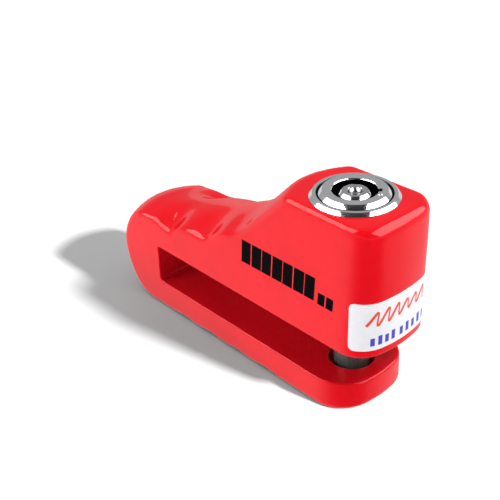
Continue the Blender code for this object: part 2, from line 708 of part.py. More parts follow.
def build_spindle(looks, spindle):
    profile = [(0.0, TAIL_SHOULDER), (TAIL_RADIUS, TAIL_SHOULDER), (TAIL_RADIUS, PLUG_BOTTOM),
               (PLUG_RADIUS, PLUG_BOTTOM), (PLUG_RADIUS, PLUG_TOP), (POST_RADIUS, PLUG_TOP),
               (POST_RADIUS, POST_TOP - POST_CHAMFER), (POST_RADIUS - POST_CHAMFER, POST_TOP),
               (BALL_SOCKET_RADIUS, POST_TOP), (BALL_SOCKET_RADIUS, POST_TOP - BALL_SOCKET_DEPTH),
               (0.0, POST_TOP - BALL_SOCKET_DEPTH)]
    post = add_object("spindle", turned_mesh("spindle", profile, 48), looks["steel"], spindle)
    half = TAIL_FLATS / 2
    tail = block_mesh("spindle_tail", (-half, -half, TAIL_BOTTOM), (half, half, TAIL_SHOULDER + 2.0 * MM))
    fuse(post, cutter("spindle_tail_tool", tail))
    cut(post, pin_hole_cutters("key_pin_hole_cutters", PLUG_BOTTOM - MM, PLUG_TOP + MM))
    notch = block_mesh("post_notch", (3.1 * MM, -0.6 * MM, KEYWAY_FLOOR + 1.8 * MM),
                       (4.6 * MM, 0.6 * MM, POST_TOP + MM))
    notch.transform(Matrix.Rotation(math.radians(NIB_ANGLE + 90.0), 4, "Z"))
    cut(post, cutter("post_notch_cutter", notch))

    seat = POST_TOP - BALL_SOCKET_DEPTH + CLEAR
    ball = [(0.0, seat), (BALL_RADIUS, seat)]
    ball += list(arc_points((0.0, POST_TOP - 0.35 * MM), BALL_RADIUS, 0, 90, 5))
    ball[-1] = (0.0, ball[-1][1])
    add_object("drill_ball", turned_mesh("drill_ball", ball, 24), looks["hard_steel"], spindle)

    disc, hole = square_ring("cam", CAM_RADIUS, PAWL_BOTTOM + CLEAR, PAWL_TOP - CLEAR, CAM_SIDE, 36)
    cut(add_object("cam", disc, looks["hard_steel"], spindle), cutter("cam_square_cutter", hole))
    disc, hole = square_ring("cam_clip", CLIP_RADIUS, CLIP_BOTTOM, CLIP_TOP, 0.0, 24)
    clip = add_object("cam_clip", disc, looks["spring_steel"], spindle)
    cut(clip, cutter("cam_clip_square_cutter", hole))


def build_pawl(looks, pawl):
    main = block_mesh("locking_pawl", (-PAWL_SHOULDER, -PAWL_HALF, PAWL_BOTTOM),
                      (PAWL_REAR, PAWL_HALF, PAWL_TOP))
    made = add_object("locking_pawl", main, looks["hard_steel"], pawl)
    nose = block_mesh("pawl_nose", (-PAWL_TIP, -PAWL_NOSE_HALF, PAWL_BOTTOM),
                      (-3.0 * MM, PAWL_NOSE_HALF, PAWL_TOP))
    fuse(made, cutter("pawl_nose_tool", nose))
    window = block_mesh("pawl_yoke", (CAM_SIDE - CAM_RADIUS - 1.45 * MM, -3.65 * MM, PAWL_BOTTOM - MM),
                        (CAM_SIDE + CAM_RADIUS + 0.06 * MM, 2.1 * MM, PAWL_TOP + MM))
    cut(made, cutter("pawl_yoke_cutter", window))


def build_key_pins(looks, spindle):
    for index, travel in enumerate(KEY_PIN_TRAVELS):
        name = f"key_pin_{index + 1}"
        guide = add_empty(name + "_slide", pin_place(index), spindle)
        profile = rod_profile(PIN_RADIUS, KEY_PIN_STOP + travel * MM, KEY_PIN_TOP, 0.15 * MM)
        made = add_object(name, turned_mesh(name, profile, 12), looks["brass"])
        made.parent = guide


def build():
    clear_scene()
    looks = {
        "red_paint": material("red_paint", (0.78, 0.012, 0.02), 0.25, 0.0),
        "chrome": material("chrome", (0.78, 0.78, 0.8), 0.08, 1.0),
        "steel": material("steel", (0.55, 0.55, 0.57), 0.3, 1.0),
        "hard_steel": material("hard_steel", (0.42, 0.42, 0.44), 0.22, 1.0),
        "spring_steel": material("spring_steel", (0.35, 0.35, 0.37), 0.35, 1.0),
        "brass": material("brass", (0.72, 0.53, 0.25), 0.3, 1.0),
        "white_film": material("white_film", (0.85, 0.86, 0.9), 0.35, 0.0),
    }
    plunger = add_empty("plunger_slide", (0.0, 0.0, 0.0))
    spindle = add_empty("key_turn", (0.0, 0.0, 0.0), plunger)
    pawl = add_empty("pawl_slide", (0.0, 0.0, 0.0), plunger)
    build_housing(looks)
    build_barrel(looks, plunger)
    build_carrier(looks, plunger)
    build_drivers(looks, plunger)
    build_pawl_spring(looks, plunger)
    build_spindle(looks, spindle)
    build_pawl(looks, pawl)
    build_key_pins(looks, spindle)


build()
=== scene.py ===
"""Disc brake lock: the fine surfaces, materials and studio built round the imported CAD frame."""

import json
import math

import bmesh
import bpy
import numpy as np
from mathutils import Matrix, Vector


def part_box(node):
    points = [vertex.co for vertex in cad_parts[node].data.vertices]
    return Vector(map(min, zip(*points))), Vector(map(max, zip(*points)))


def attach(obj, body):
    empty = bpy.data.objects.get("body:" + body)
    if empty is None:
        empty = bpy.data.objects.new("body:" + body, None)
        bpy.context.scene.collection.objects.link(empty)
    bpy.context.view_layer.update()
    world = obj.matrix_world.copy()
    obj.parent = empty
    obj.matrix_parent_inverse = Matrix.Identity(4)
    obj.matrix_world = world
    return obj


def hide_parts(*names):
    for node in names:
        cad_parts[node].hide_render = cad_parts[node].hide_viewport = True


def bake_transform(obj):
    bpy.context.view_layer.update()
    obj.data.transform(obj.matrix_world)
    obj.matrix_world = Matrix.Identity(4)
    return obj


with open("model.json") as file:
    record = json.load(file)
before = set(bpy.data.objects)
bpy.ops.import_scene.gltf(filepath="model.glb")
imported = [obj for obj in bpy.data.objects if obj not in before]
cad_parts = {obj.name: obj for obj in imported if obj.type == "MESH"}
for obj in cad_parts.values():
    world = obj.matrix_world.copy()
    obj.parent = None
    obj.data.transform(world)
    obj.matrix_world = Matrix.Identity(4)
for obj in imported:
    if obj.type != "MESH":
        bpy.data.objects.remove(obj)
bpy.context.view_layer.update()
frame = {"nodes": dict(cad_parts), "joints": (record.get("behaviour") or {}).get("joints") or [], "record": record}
MM = 0.001

# ---------------------------------------------------------------- body dimensions
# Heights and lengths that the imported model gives
BODY_LOW, BODY_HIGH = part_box("lock_body")
FLANGE_LOW, FLANGE_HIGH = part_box("lock_shell")
BARREL_LOW, BARREL_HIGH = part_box("plunger_housing")
POST_LOW, POST_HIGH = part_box("spindle")
BOLT_LOW, BOLT_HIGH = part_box("lock_bolt")
LABEL_LOW, LABEL_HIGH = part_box("front_label")
SPRING_LOW, SPRING_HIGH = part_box("return_spring")
PLUNGER_TRAVEL = frame["joints"][0]["range_m"][1]

# The body's own numbers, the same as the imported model's
SLOT_FLOOR = 8.5 * MM
SLOT_CEILING = 20.44 * MM
SLOT_END = -67.0 * MM
HEAD_TOP = BODY_HIGH.z
HEAD_FRONT = BODY_HIGH.x
JAW_TIP = 10.9 * MM
HALF_WIDTH_AT_BASE = 14.05 * MM
SIDE_DRAFT = 0.016
SIDE_TAPER = 0.0148
HEEL_X = -72.5 * MM
HEEL_RADIUS = 15.7 * MM
HEEL_TRIM = 0.55 * MM
PLAN_BLEND = 22.0 * MM
FRONT_ARC_LOW = 34.0 * MM
FRONT_ARC_HIGH = 60.0 * MM
HEAD_CORNER_LOW = 6.0 * MM
HEAD_CORNER_HIGH = 5.4 * MM
TIP_CORNER = 7.8 * MM
FOOT_RADIUS = 1.6 * MM
LIP_RADIUS = 0.8 * MM
SLOT_ROOT_RADIUS = 1.6 * MM
SLOT_TOP_RADIUS = 0.6 * MM
BROW_RADIUS = 3.1 * MM
REAR_TURN_RADIUS = 5.0 * MM
HEAD_EDGE = 1.8 * MM
FOOT_EDGE = 1.0 * MM
SLOT_EDGE = 0.4 * MM
EDGE_REACH = 1.2
EDGE_POWER = 2.5
CREST = ((-16.8, 57.27), (-28.5, 46.2), (-41.4, 39.2), (-55.5, 34.9), (-72.5, 31.4))
GROOVES = ((-62.8, 2.3, 4.4), (-46.2, 1.8, 4.8), (-33.0, 0.9, 4.0))
SPINE_HALF = 0.05
SPINE_FADE = 0.75
FAR_RIM = 0.85
SADDLE_SAG = 3.8 * MM
GRIP_EDGE = 1.2 * MM
HEEL_SAG = 2.2 * MM
REAR_SETBACK = 5.0 * MM
WAVE_DEPTH = 0.45 * MM
WAVE_START = -62.0 * MM
WAVE_END = -14.0 * MM
WAVE_COUNT = 4
JAW_HOLE_RADIUS = 6.15 * MM
JAW_HOLE_FLOOR = 3.5 * MM
CHAMBER_RADIUS = 10.6 * MM

# Shell and plunger
SHELL_INNER = 9.3 * MM
SHELL_OUTER = 10.5 * MM
FLANGE_CHAMFER = 0.88 * MM
PLUNGER_BORE = 7.2 * MM
SPRING_POCKET = 7.7 * MM
POCKET_TOP = 34.0 * MM
KEYWAY_RADIUS = 5.75 * MM
KEYWAY_FLOOR = 51.2 * MM
RIM_BREAK = 0.22 * MM
NIB_ANGLE = 38.0

# Spindle
POST_RADIUS = 4.1 * MM
POST_CHAMFER = 0.8 * MM
PLUG_RADIUS = 7.1 * MM
PLUG_TOP = 51.1 * MM
PLUG_BOTTOM = 46.7 * MM
PIN_HOLE = 0.8 * MM
PIN_COUNT = 7
TAIL_RADIUS = 1.85 * MM
TAIL_SHOULDER = 39.4 * MM
TAIL_HALF = 0.95 * MM
SOCKET_RADIUS = 1.75 * MM
SOCKET_DEPTH = 1.4 * MM

# Label film and prints: distances off the painted surface, and the label's printed pattern
LABEL_REACH = 13.36 * MM
LABEL_CORNER = 1.4 * MM
FILM_SKIN = (0.04 * MM, 0.16 * MM)
PRINT_SKIN = (0.15 * MM, 0.19 * MM)
PAINT_PRINT_SKIN = (-0.02 * MM, 0.02 * MM)
BRUSH_PEAKS = 6
BRUSH_STEPS = 30
BRUSH_START = -10.9 * MM
BRUSH_END = 9.6 * MM
BRUSH_HEIGHT = 32.1 * MM
BRUSH_LEAN = 0.42
BAR_LEFTS = (-10.3, -8.2, -6.1, -4.0, -1.1, 1.2, 3.6, 6.1, 8.7)
BAR_WIDTH = 1.15 * MM
BAR_BASE = 24.15 * MM

# Studio
AMBIENT = 0.54
CARD_RADIANCE = 5.8
CAMERA_PLACE = (0.14435, -0.16413, 0.17293)
CAMERA_AZIMUTH = 48.27
CAMERA_ELEVATION = 30.943
CAMERA_ROLL = -2.378
CAMERA_LENS = 71.69
CAMERA_SENSOR = 36.0
AWAY_FROM_CAMERA = (-0.746, 0.666, 0.0)


# ---------------------------------------------------------------- node helpers

class Graph:
    """A material's node tree with short calls for the few nodes used here."""

    def __init__(self, name):
        self.material = bpy.data.materials.new(name)
        self.material.use_nodes = True
        self.tree = self.material.node_tree
        self.shader = self.tree.nodes["Principled BSDF"]
        self.coords = self.tree.nodes.new("ShaderNodeTexCoord").outputs["Object"]

    def link(self, source, socket):
        self.tree.links.new(source, socket)

    def put(self, socket, value):
        if isinstance(value, bpy.types.NodeSocket):
            self.link(value, socket)
        else:
            socket.default_value = value

    def noise(self, scale, detail=2.0, roughness=0.5, stretch=None):
        node = self.tree.nodes.new("ShaderNodeTexNoise")
        node.inputs["Scale"].default_value = scale
        node.inputs["Detail"].default_value = detail
        node.inputs["Roughness"].default_value = roughness
        source = self.coords
        if stretch:
            mapping = self.tree.nodes.new("ShaderNodeMapping")
            mapping.inputs["Scale"].default_value = stretch
            self.link(source, mapping.inputs["Vector"])
            source = mapping.outputs["Vector"]
        self.link(source, node.inputs["Vector"])
        return node.outputs["Fac"]

    def math(self, operation, a, b=0.0, c=0.0):
        node = self.tree.nodes.new("ShaderNodeMath")
        node.operation = operation
        for socket, value in zip(node.inputs, (a, b, c)):
            self.put(socket, value)
        return node.outputs[0]

    def range(self, value, low, high, to_low=0.0, to_high=1.0):
        node = self.tree.nodes.new("ShaderNodeMapRange")
        node.interpolation_type = "SMOOTHSTEP"
        for key, item in zip(("Value", "From Min", "From Max", "To Min", "To Max"),
                             (value, low, high, to_low, to_high)):
            self.put(node.inputs[key], item)
        return node.outputs["Result"]

    def axis(self, name):
        node = self.tree.nodes.new("ShaderNodeSeparateXYZ")
        self.link(self.coords, node.inputs[0])
        return node.outputs[name]

    def mix(self, factor, a, b):
        node = self.tree.nodes.new("ShaderNodeMix")
        node.data_type = "RGBA"
        self.put(node.inputs[0], factor)
        self.put(node.inputs[6], a if isinstance(a, bpy.types.NodeSocket) else (*a, 1.0))
        self.put(node.inputs[7], b if isinstance(b, bpy.types.NodeSocket) else (*b, 1.0))
        return node.outputs[2]

    def bump(self, height, distance, strength=1.0, after=None):
        node = self.tree.nodes.new("ShaderNodeBump")
        node.inputs["Strength"].default_value = strength
        node.inputs["Distance"].default_value = distance
        self.link(height, node.inputs["Height"])
        if after:
            self.link(after, node.inputs["Normal"])
        return node.outputs["Normal"]

    def set(self, **values):
        for key, value in values.items():
            self.put(self.shader.inputs[key.replace("_", " ")], value)


def red_paint():
    g = Graph("red_paint_gloss")
    patches = g.noise(55.0, 3.0)
    peel = g.noise(700.0, 1.0)
    # The slot keeps the rougher skin of the casting under its paint
    z = g.axis("Z")
    y = g.math("ABSOLUTE", g.axis("Y"))
    low = g.range(z, SLOT_FLOOR - 0.3 * MM, SLOT_FLOOR + 0.2 * MM)
    high = g.range(z, SLOT_CEILING, SLOT_CEILING + 0.3 * MM, 1.0, 0.0)
    inside = g.range(y, 12.2 * MM, 13.2 * MM, 1.0, 0.0)
    before_heel = g.range(g.axis("X"), SLOT_END - 0.6 * MM, SLOT_END - 0.1 * MM)
    slot = g.math("MULTIPLY", g.math("MULTIPLY", low, high), g.math("MULTIPLY", inside, before_heel))
    shade = g.mix(g.range(patches, 0.35, 0.65), (0.86, 0.006, 0.0139), (0.80, 0.0045, 0.0118))
    speck = g.range(g.noise(1900.0, 2.0), 0.55, 0.70)
    colour = g.mix(g.math("MULTIPLY", speck, g.math("MULTIPLY", slot, 0.6)), shade, (0.25, 0.001, 0.003))
    # Light that bounces off the paint onto its surroundings is kept neutral, for a floor without a red cast
    bounced = g.tree.nodes.new("ShaderNodeLightPath").outputs["Is Diffuse Ray"]
    colour = g.mix(g.math("MULTIPLY", bounced, 0.94), colour, (0.31, 0.30, 0.30))
    g.set(Base_Color=colour, Roughness=g.range(patches, 0.3, 0.7, 0.30, 0.38))
    g.set(Specular_IOR_Level=0.0, Coat_IOR=1.4)
    # The lacquer mirrors less than a perfect film where it is seen edge on
    glance = g.tree.nodes.new("ShaderNodeLayerWeight").outputs["Facing"]
    lacquer = g.math("SUBTRACT", 0.68, g.math("MULTIPLY", slot, 0.5))
    g.set(Coat_Weight=g.math("MULTIPLY", lacquer, g.range(glance, 0.6, 0.95, 1.0, 0.45)))
    haze = g.range(patches, 0.3, 0.7, 0.035, 0.06)
    g.set(Coat_Roughness=g.math("ADD", haze, g.math("MULTIPLY", slot, 0.12)))
    fine = g.bump(peel, 0.02 * MM, 0.35)
    grain = g.math("MULTIPLY", g.noise(1500.0, 3.0), slot)
    rough = g.bump(grain, 0.09 * MM, 0.8, fine)
    g.link(rough, g.shader.inputs["Normal"])
    g.link(fine, g.shader.inputs["Coat Normal"])
    return g.material


def turned_metal(name, colour, dark, roughness, ring_depth, ring_pitch=0.06 * MM, spread=0.06, painted_shade_band=None,
                 painted_shade_top=1.0):
    """Lathe-finished metal: faint rings round the Z axis, soft stains and fine scratches.

    Between the two radii given as the band, and below the band's top height, the colour is nearly black: painted
    shade for the dark gap round the plunger and down the keyway.
    """
    g = Graph(name)
    x, y, z = g.axis("X"), g.axis("Y"), g.axis("Z")
    radius = g.math("SQRT", g.math("ADD", g.math("MULTIPLY", x, x), g.math("MULTIPLY", y, y)))
    # The slanted sum gives rings on flats and on the walls alike
    along = g.math("ADD", radius, z)
    wobble = g.math("MULTIPLY", g.noise(900.0, 2.0), 0.25 * ring_pitch)
    rings = g.math("SINE", g.math("MULTIPLY", g.math("ADD", along, wobble), 2 * math.pi / ring_pitch))
    stain = g.noise(180.0, 4.0, 0.6)
    scratch = g.noise(500.0, 2.0, 0.5, (1.0, 1.0, 9.0))
    tone = g.mix(g.range(stain, 0.35, 0.75), colour, dark)
    # Painted shade: inside the band the colour turns nearly black, standing in for the shade in the gap between
    # parts and down the keyway
    if painted_shade_band:
        rising = g.range(radius, painted_shade_band[0] - 0.03 * MM, painted_shade_band[0] + 0.03 * MM)
        falling = g.range(radius, painted_shade_band[1] - 0.03 * MM, painted_shade_band[1] + 0.03 * MM, 1.0, 0.0)
        deep = g.range(z, painted_shade_top - 0.1 * MM, painted_shade_top + 0.1 * MM, 1.0, 0.0)
        painted_shade = g.math("MULTIPLY", g.math("MULTIPLY", rising, falling), deep)
        tone = g.mix(painted_shade, tone, (0.012, 0.012, 0.014))
    g.set(Base_Color=tone, Metallic=1.0)
    g.set(Roughness=g.range(scratch, 0.3, 0.7, roughness, roughness + spread))
    normal = g.bump(rings, ring_depth, 0.5)
    g.link(g.bump(scratch, 0.004 * MM, 0.4, normal), g.shader.inputs["Normal"])
    return g.material


def bolt_steel():
    """Oiled, hardened rod: darker and less mirror-like than the plated parts, drawn lengthwise."""
    g = Graph("bolt_steel")
    drawn = g.noise(700.0, 3.0, 0.6, (1.0, 1.0, 0.12))
    stain = g.noise(220.0, 3.0)
    g.set(Base_Color=g.mix(g.range(stain, 0.3, 0.7), (0.13, 0.18, 0.18), (0.095, 0.135, 0.135)))
    g.set(Metallic=g.range(drawn, 0.3, 0.7, 0.35, 0.5), Specular_IOR_Level=0.6)
    g.set(Roughness=g.range(drawn, 0.3, 0.7, 0.18, 0.34), Coat_Weight=0.8, Coat_Roughness=0.08)
    g.link(g.bump(drawn, 0.008 * MM, 0.5), g.shader.inputs["Normal"])
    return g.material


def spring_wire():
    g = Graph("spring_wire_steel")
    drawn = g.noise(1400.0, 3.0, 0.6)
    stain = g.noise(260.0, 3.0)
    g.set(Base_Color=g.mix(g.range(stain, 0.3, 0.7), (0.42, 0.42, 0.45), (0.26, 0.26, 0.29)), Metallic=1.0)
    g.set(Roughness=g.range(drawn, 0.3, 0.7, 0.24, 0.42))
    g.link(g.bump(drawn, 0.01 * MM, 0.4), g.shader.inputs["Normal"])
    return g.material


def label_film():
    g = Graph("label_film_white")
    mottle = g.noise(420.0, 4.0, 0.6)
    fibre = g.noise(2400.0, 2.0)
    g.set(Base_Color=g.mix(g.range(mottle, 0.3, 0.7), (0.91, 0.90, 0.93), (0.87, 0.86, 0.90)))
    g.set(Roughness=g.range(fibre, 0.3, 0.7, 0.34, 0.44), Coat_Weight=0.35, Coat_Roughness=0.18)
    g.link(g.bump(fibre, 0.006 * MM, 0.5), g.shader.inputs["Normal"])
    return g.material


def ink(name, colour, faded, roughness, shine=0.4):
    """Printed ink, a little uneven where it took badly."""
    g = Graph(name)
    g.set(Specular_IOR_Level=shine)
    cover = g.noise(1800.0, 3.0, 0.65)
    g.set(Base_Color=g.mix(g.range(cover, 0.55, 0.8), colour, faded))
    g.set(Roughness=g.range(cover, 0.3, 0.7, roughness, roughness + 0.12))
    g.link(g.bump(cover, 0.004 * MM, 0.4), g.shader.inputs["Normal"])
    return g.material


CHROME = ((0.80, 0.80, 0.82), (0.74, 0.74, 0.76))
LOOKS = {
    "red_paint": red_paint(),
    "chrome": turned_metal("chrome_polished", *CHROME, 0.07, 0.0012 * MM),
    # The flange's inner wall and the barrel's keyway wall carry painted shade, nearly black
    "chrome_flange": turned_metal("chrome_flange", *CHROME, 0.08, 0.0012 * MM, painted_shade_band=(9.0 * MM, 9.72 * MM)),
    "chrome_barrel": turned_metal("chrome_barrel", *CHROME, 0.07, 0.0012 * MM,
                                  painted_shade_band=(5.0 * MM, 5.88 * MM), painted_shade_top=58.35 * MM),
    "chrome_post": turned_metal("chrome_post", (0.62, 0.62, 0.64), (0.56, 0.56, 0.58), 0.08, 0.0010 * MM),
    "bolt_steel": bolt_steel(),
    "steel": turned_metal("steel_ground", (0.62, 0.62, 0.64), (0.50, 0.50, 0.52), 0.20,
                          0.004 * MM, 0.09 * MM),
    "hard_steel": turned_metal("steel_hardened", (0.50, 0.50, 0.52), (0.36, 0.36, 0.38), 0.15, 0.003 * MM),
    "spring_steel": spring_wire(),
    "brass": turned_metal("brass_turned", (0.78, 0.58, 0.28), (0.62, 0.43, 0.18), 0.22,
                          0.004 * MM, 0.08 * MM),
    "white_film": label_film(),
}
INKS = {
    "black": ink("ink_black", (0.0012, 0.0012, 0.0014), (0.005, 0.004, 0.005), 0.55, 0.02),
    "orange": ink("ink_orange", (0.87, 0.055, 0.02), (0.87, 0.16, 0.10), 0.4),
    "blue": ink("ink_blue", (0.045, 0.055, 0.52), (0.12, 0.13, 0.60), 0.4),
}

# ---------------------------------------------------------------- mesh helpers


def mesh_from(bm, name):
    bmesh.ops.recalc_face_normals(bm, faces=bm.faces)
    data = bpy.data.meshes.new(name)
    bm.to_mesh(data)
    bm.free()
    return data


def add_piece(name, data, material):
    made = bpy.data.objects.new(name, data)
    bpy.context.scene.collection.objects.link(made)
    data.materials.clear()
    data.materials.append(material)
    return made


def bake_modifiers(obj):
    """Apply the modifiers and drop them."""
    view = bpy.context.evaluated_depsgraph_get()
    done = bpy.data.meshes.new_from_object(obj.evaluated_get(view))
    old = obj.data
    obj.modifiers.clear()
    obj.data = done
    done.name = obj.name
    if old.users == 0:
        bpy.data.meshes.remove(old)


def carve(obj, *tools, operation="DIFFERENCE"):
    """Cut or fuse the tool meshes, then forget the tools."""
    helpers = []
    for i, data in enumerate(tools):
        helper = bpy.data.objects.new(f"{obj.name}_tool_{i}", data)
        bpy.context.scene.collection.objects.link(helper)
        helpers.append(helper)
        step = obj.modifiers.new(f"cut_{i}", "BOOLEAN")
        step.operation = operation
        step.solver = "EXACT"
        step.object = helper
    bpy.context.view_layer.update()
    bake_modifiers(obj)
    for helper in helpers:
        data = helper.data
        bpy.data.objects.remove(helper)
        bpy.data.meshes.remove(data)
    return obj


def finish_shading(obj, sharp=35.0, weighted=True):
    obj.data.shade_smooth()
    obj.data.set_sharp_from_angle(angle=math.radians(sharp))
    if weighted:
        step = obj.modifiers.new("face_weights", "WEIGHTED_NORMAL")
        step.keep_sharp = True
        step.weight = 50
        step.mode = "FACE_AREA"
    return obj


def softened(profile, radii, steps=4):
    """A closed (radius, z) outline with its corners rounded off; radii is one value or one per corner."""
    out = []
    count = len(profile)
    for i, corner in enumerate(profile):
        radius = radii[i] if isinstance(radii, (list, tuple)) else radii
        here = Vector(corner)
        before = Vector(profile[i - 1]) - here
        after = Vector(profile[(i + 1) % count]) - here
        if here.x < 1e-7 or radius <= 0:
            out.append(tuple(here))
            continue
        angle = before.angle(after)
        reach = min(radius / math.tan(angle / 2), 0.45 * before.length, 0.45 * after.length)
        start = here + before.normalized() * reach
        stop = here + after.normalized() * reach
        for k in range(steps + 1):
            t = k / steps
            point = start * (1 - t) ** 2 + here * 2 * t * (1 - t) + stop * t * t
            out.append(tuple(point))
    return out


def turned(name, profile, segments):
    bm = bmesh.new()
    rings = []
    for radius, z in profile:
        if radius < 1e-8:
            rings.append([bm.verts.new((0.0, 0.0, z))])
            continue
        rings.append([bm.verts.new((radius * math.cos(2 * math.pi * i / segments),
                                    radius * math.sin(2 * math.pi * i / segments), z))
                      for i in range(segments)])
    for low, high in zip(rings, rings[1:] + rings[:1]):
        if len(low) == 1 and len(high) == 1:
            continue
        for i in range(segments):
            j = (i + 1) % segments
            corners = [low[i % len(low)], low[j % len(low)], high[j % len(high)], high[i % len(high)]]
            bm.faces.new(list(dict.fromkeys(corners)))
    return mesh_from(bm, name)


def block(name, low, high, turn=0.0):
    bm = bmesh.new()
    bmesh.ops.create_cube(bm, size=1.0)
    for vert in bm.verts:
        vert.co = Vector((high[i] - low[i]) * vert.co[i] + (high[i] + low[i]) / 2 for i in range(3))
    data = mesh_from(bm, name)
    data.transform(Matrix.Rotation(math.radians(turn), 4, "Z"))
    return data


def cross_rod(name, radius, start, stop, z, angle, segments=32):
    profile = [(0.0, start), (radius, start), (radius, stop), (0.0, stop)]
    data = turned(name, profile, segments)
    data.transform(Matrix.Translation((0, 0, z)) @ Matrix.Rotation(math.radians(angle), 4, "Z")
                   @ Matrix.Rotation(math.radians(90), 4, "Y"))
    return data


# ---------------------------------------------------------------- body shape

def half_width(x, z):
    """The flat sides lean in towards the top and run in towards the heel."""
    return HALF_WIDTH_AT_BASE - SIDE_DRAFT * z + SIDE_TAPER * x


def smooth_step(value):
    value = min(max(value, 0.0), 1.0)
    return value * value * (3.0 - 2.0 * value)


def round_off(across, half, radius):
    """Drop of a softly rounded edge at this distance from the mid-plane; it eases in at both ends."""
    reach = EDGE_REACH * radius
    over = min(abs(across) - (half - reach), reach)
    if over <= 0.0:
        return 0.0
    return reach - reach * (1.0 - (over / reach) ** EDGE_POWER) ** (1.0 / EDGE_POWER)


def front_setback(across, z):
    """Distance of the head's front behind its mid-plane line: a shallow arc with rounded corners."""
    rise = smooth_step((z - SLOT_CEILING) / (HEAD_TOP - SLOT_CEILING))
    arc_radius = FRONT_ARC_LOW + (FRONT_ARC_HIGH - FRONT_ARC_LOW) * rise
    corner = HEAD_CORNER_LOW + (HEAD_CORNER_HIGH - HEAD_CORNER_LOW) * rise
    return across * across / (2 * arc_radius) + round_off(across, half_width(0.0, z), corner)


def tip_setback(across, z):
    """The same for the tip of the jaw, whose corners are rounder."""
    return across * across / (2 * FRONT_ARC_LOW) + round_off(across, half_width(0.0, z), TIP_CORNER)


def arc_points(centre, radius, start, stop, count):
    for i in range(count + 1):
        angle = math.radians(start + (stop - start) * i / count)
        yield centre[0] + radius * math.cos(angle), centre[1] + radius * math.sin(angle)


def line_points(start, stop, count):
    """Points from start up to, and not including, stop."""
    for i in range(count):
        part = i / count
        yield start[0] + (stop[0] - start[0]) * part, start[1] + (stop[1] - start[1]) * part


def spline(a, b, c, d, u):
    """Catmull-Rom value between b and c."""
    square = (2 * a - 5 * b + 4 * c - d) * u * u
    cube = (3 * b - a - 3 * c + d) * u * u * u
    return 0.5 * (2 * b + (c - a) * u + square + cube)


def crest_points(steps):
    """Catmull-Rom curve down the crest, from the head's rear edge to the heel."""
    slope = (CREST[0][1] - CREST[1][1]) / (CREST[0][0] - CREST[1][0])
    before = (CREST[0][0] + 12.0, CREST[0][1] + 12.0 * slope)
    after = (2 * CREST[-1][0] - CREST[-2][0], CREST[-1][1])
    chain = [before, *CREST, after]
    for k in range(1, len(chain) - 2):
        for i in range(steps):
            near = chain[k - 1:k + 3]
            yield tuple(MM * spline(*(point[j] for point in near), i / steps) for j in (0, 1))


def heel_points(count):
    """Nearly half a circle round the heel, slightly flattened where it runs down to the base."""
    for i in range(count + 1):
        angle = math.radians(90.0 + 174.0 * i / count)
        trim = HEEL_TRIM * math.sin(2 * angle) ** 2 if angle > math.pi else 0.0
        radius = HEEL_RADIUS - trim
        yield HEEL_X + radius * math.cos(angle), HEEL_RADIUS + radius * math.sin(angle)


def body_outline():
    """Mid-plane outline (x, z, zone), finer than the CAD one and on the same curves."""
    out = []

    def take(points, zone):
        out.extend((x, z, zone) for x, z in points)

    take(line_points((HEEL_X, 0.0), (WAVE_START, 0.0), 8), "base")
    waves = 16 * WAVE_COUNT
    for i in range(waves):
        part = i / waves
        lift = WAVE_DEPTH * (0.5 - 0.5 * math.cos(2 * math.pi * WAVE_COUNT * part))
        out.append((WAVE_START + (WAVE_END - WAVE_START) * part, lift, "base"))
    foot, lip = FOOT_RADIUS, LIP_RADIUS
    take(line_points((WAVE_END, 0.0), (JAW_TIP - foot, 0.0), 20), "jaw")
    take(arc_points((JAW_TIP - foot, foot), foot, -90, 0, 8), "jaw")
    take(line_points((JAW_TIP, foot + 0.4 * MM), (JAW_TIP, SLOT_FLOOR - lip), 6), "jaw")
    take(arc_points((JAW_TIP - lip, SLOT_FLOOR - lip), lip, 0, 90, 8), "jaw")
    root, small = SLOT_ROOT_RADIUS, SLOT_TOP_RADIUS
    take(line_points((9.6 * MM, SLOT_FLOOR), (SLOT_END + root, SLOT_FLOOR), 40), "slot")
    take(arc_points((SLOT_END + root, SLOT_FLOOR + root), root, 270, 180, 8), "slot")
    take(arc_points((SLOT_END + small, SLOT_CEILING - small), small, 180, 90, 5), "slot")
    take(line_points((-65.0 * MM, SLOT_CEILING), (HEAD_FRONT - small, SLOT_CEILING), 44), "head")
    take(arc_points((HEAD_FRONT - small, SLOT_CEILING + small), small, -90, 0, 5), "head")
    brow = BROW_RADIUS
    take(line_points((HEAD_FRONT, LABEL_LOW.z), (HEAD_FRONT, HEAD_TOP - brow), 22), "head")
    take(arc_points((HEAD_FRONT - brow, HEAD_TOP - brow), brow, 0, 90, 14), "head")
    turn = REAR_TURN_RADIUS
    slope = math.atan2(CREST[0][1] - CREST[1][1], CREST[0][0] - CREST[1][0])
    edge = CREST[0][0] * MM + turn * math.tan(slope / 2)
    take(line_points((13.5 * MM, HEAD_TOP), (edge, HEAD_TOP), 24), "head")
    take(arc_points((edge, HEAD_TOP - turn), turn, 90, 90 + math.degrees(slope), 12), "saddle")
    low = edge - turn * math.sin(slope) - 0.3 * MM
    take((p for p in crest_points(28) if p[0] < low), "saddle")
    take(heel_points(64), "heel")
    return out


def groove_depth(x, part):
    """Finger grooves: dishes either side of the spine, shallow at the far rim."""
    total = 0.0
    for centre, depth, width in GROOVES:
        total += depth * MM * math.exp(-((x / MM - centre) / width) ** 2)
    rim = 1.0 - FAR_RIM * smooth_step((part - 0.55) / 0.45)
    return total * rim * smooth_step((abs(part) - SPINE_HALF) / SPINE_FADE)


def saddle_sag(x):
    """Arching across the saddle, which flattens towards the heel."""
    return SADDLE_SAG + (HEEL_SAG - SADDLE_SAG) * smooth_step((-56.0 * MM - x) / (14.0 * MM))


def heel_sag(x, z):
    """Arching across the heel: most at its back, none where it meets the flat base."""
    angle = math.degrees(math.atan2(z - HEEL_RADIUS, x - HEEL_X)) % 360.0
    back = HEEL_SAG + (SADDLE_SAG - HEEL_SAG) * smooth_step((angle - 95.0) / 60.0)
    return back * (1.0 - smooth_step((angle - 185.0) / 85.0))


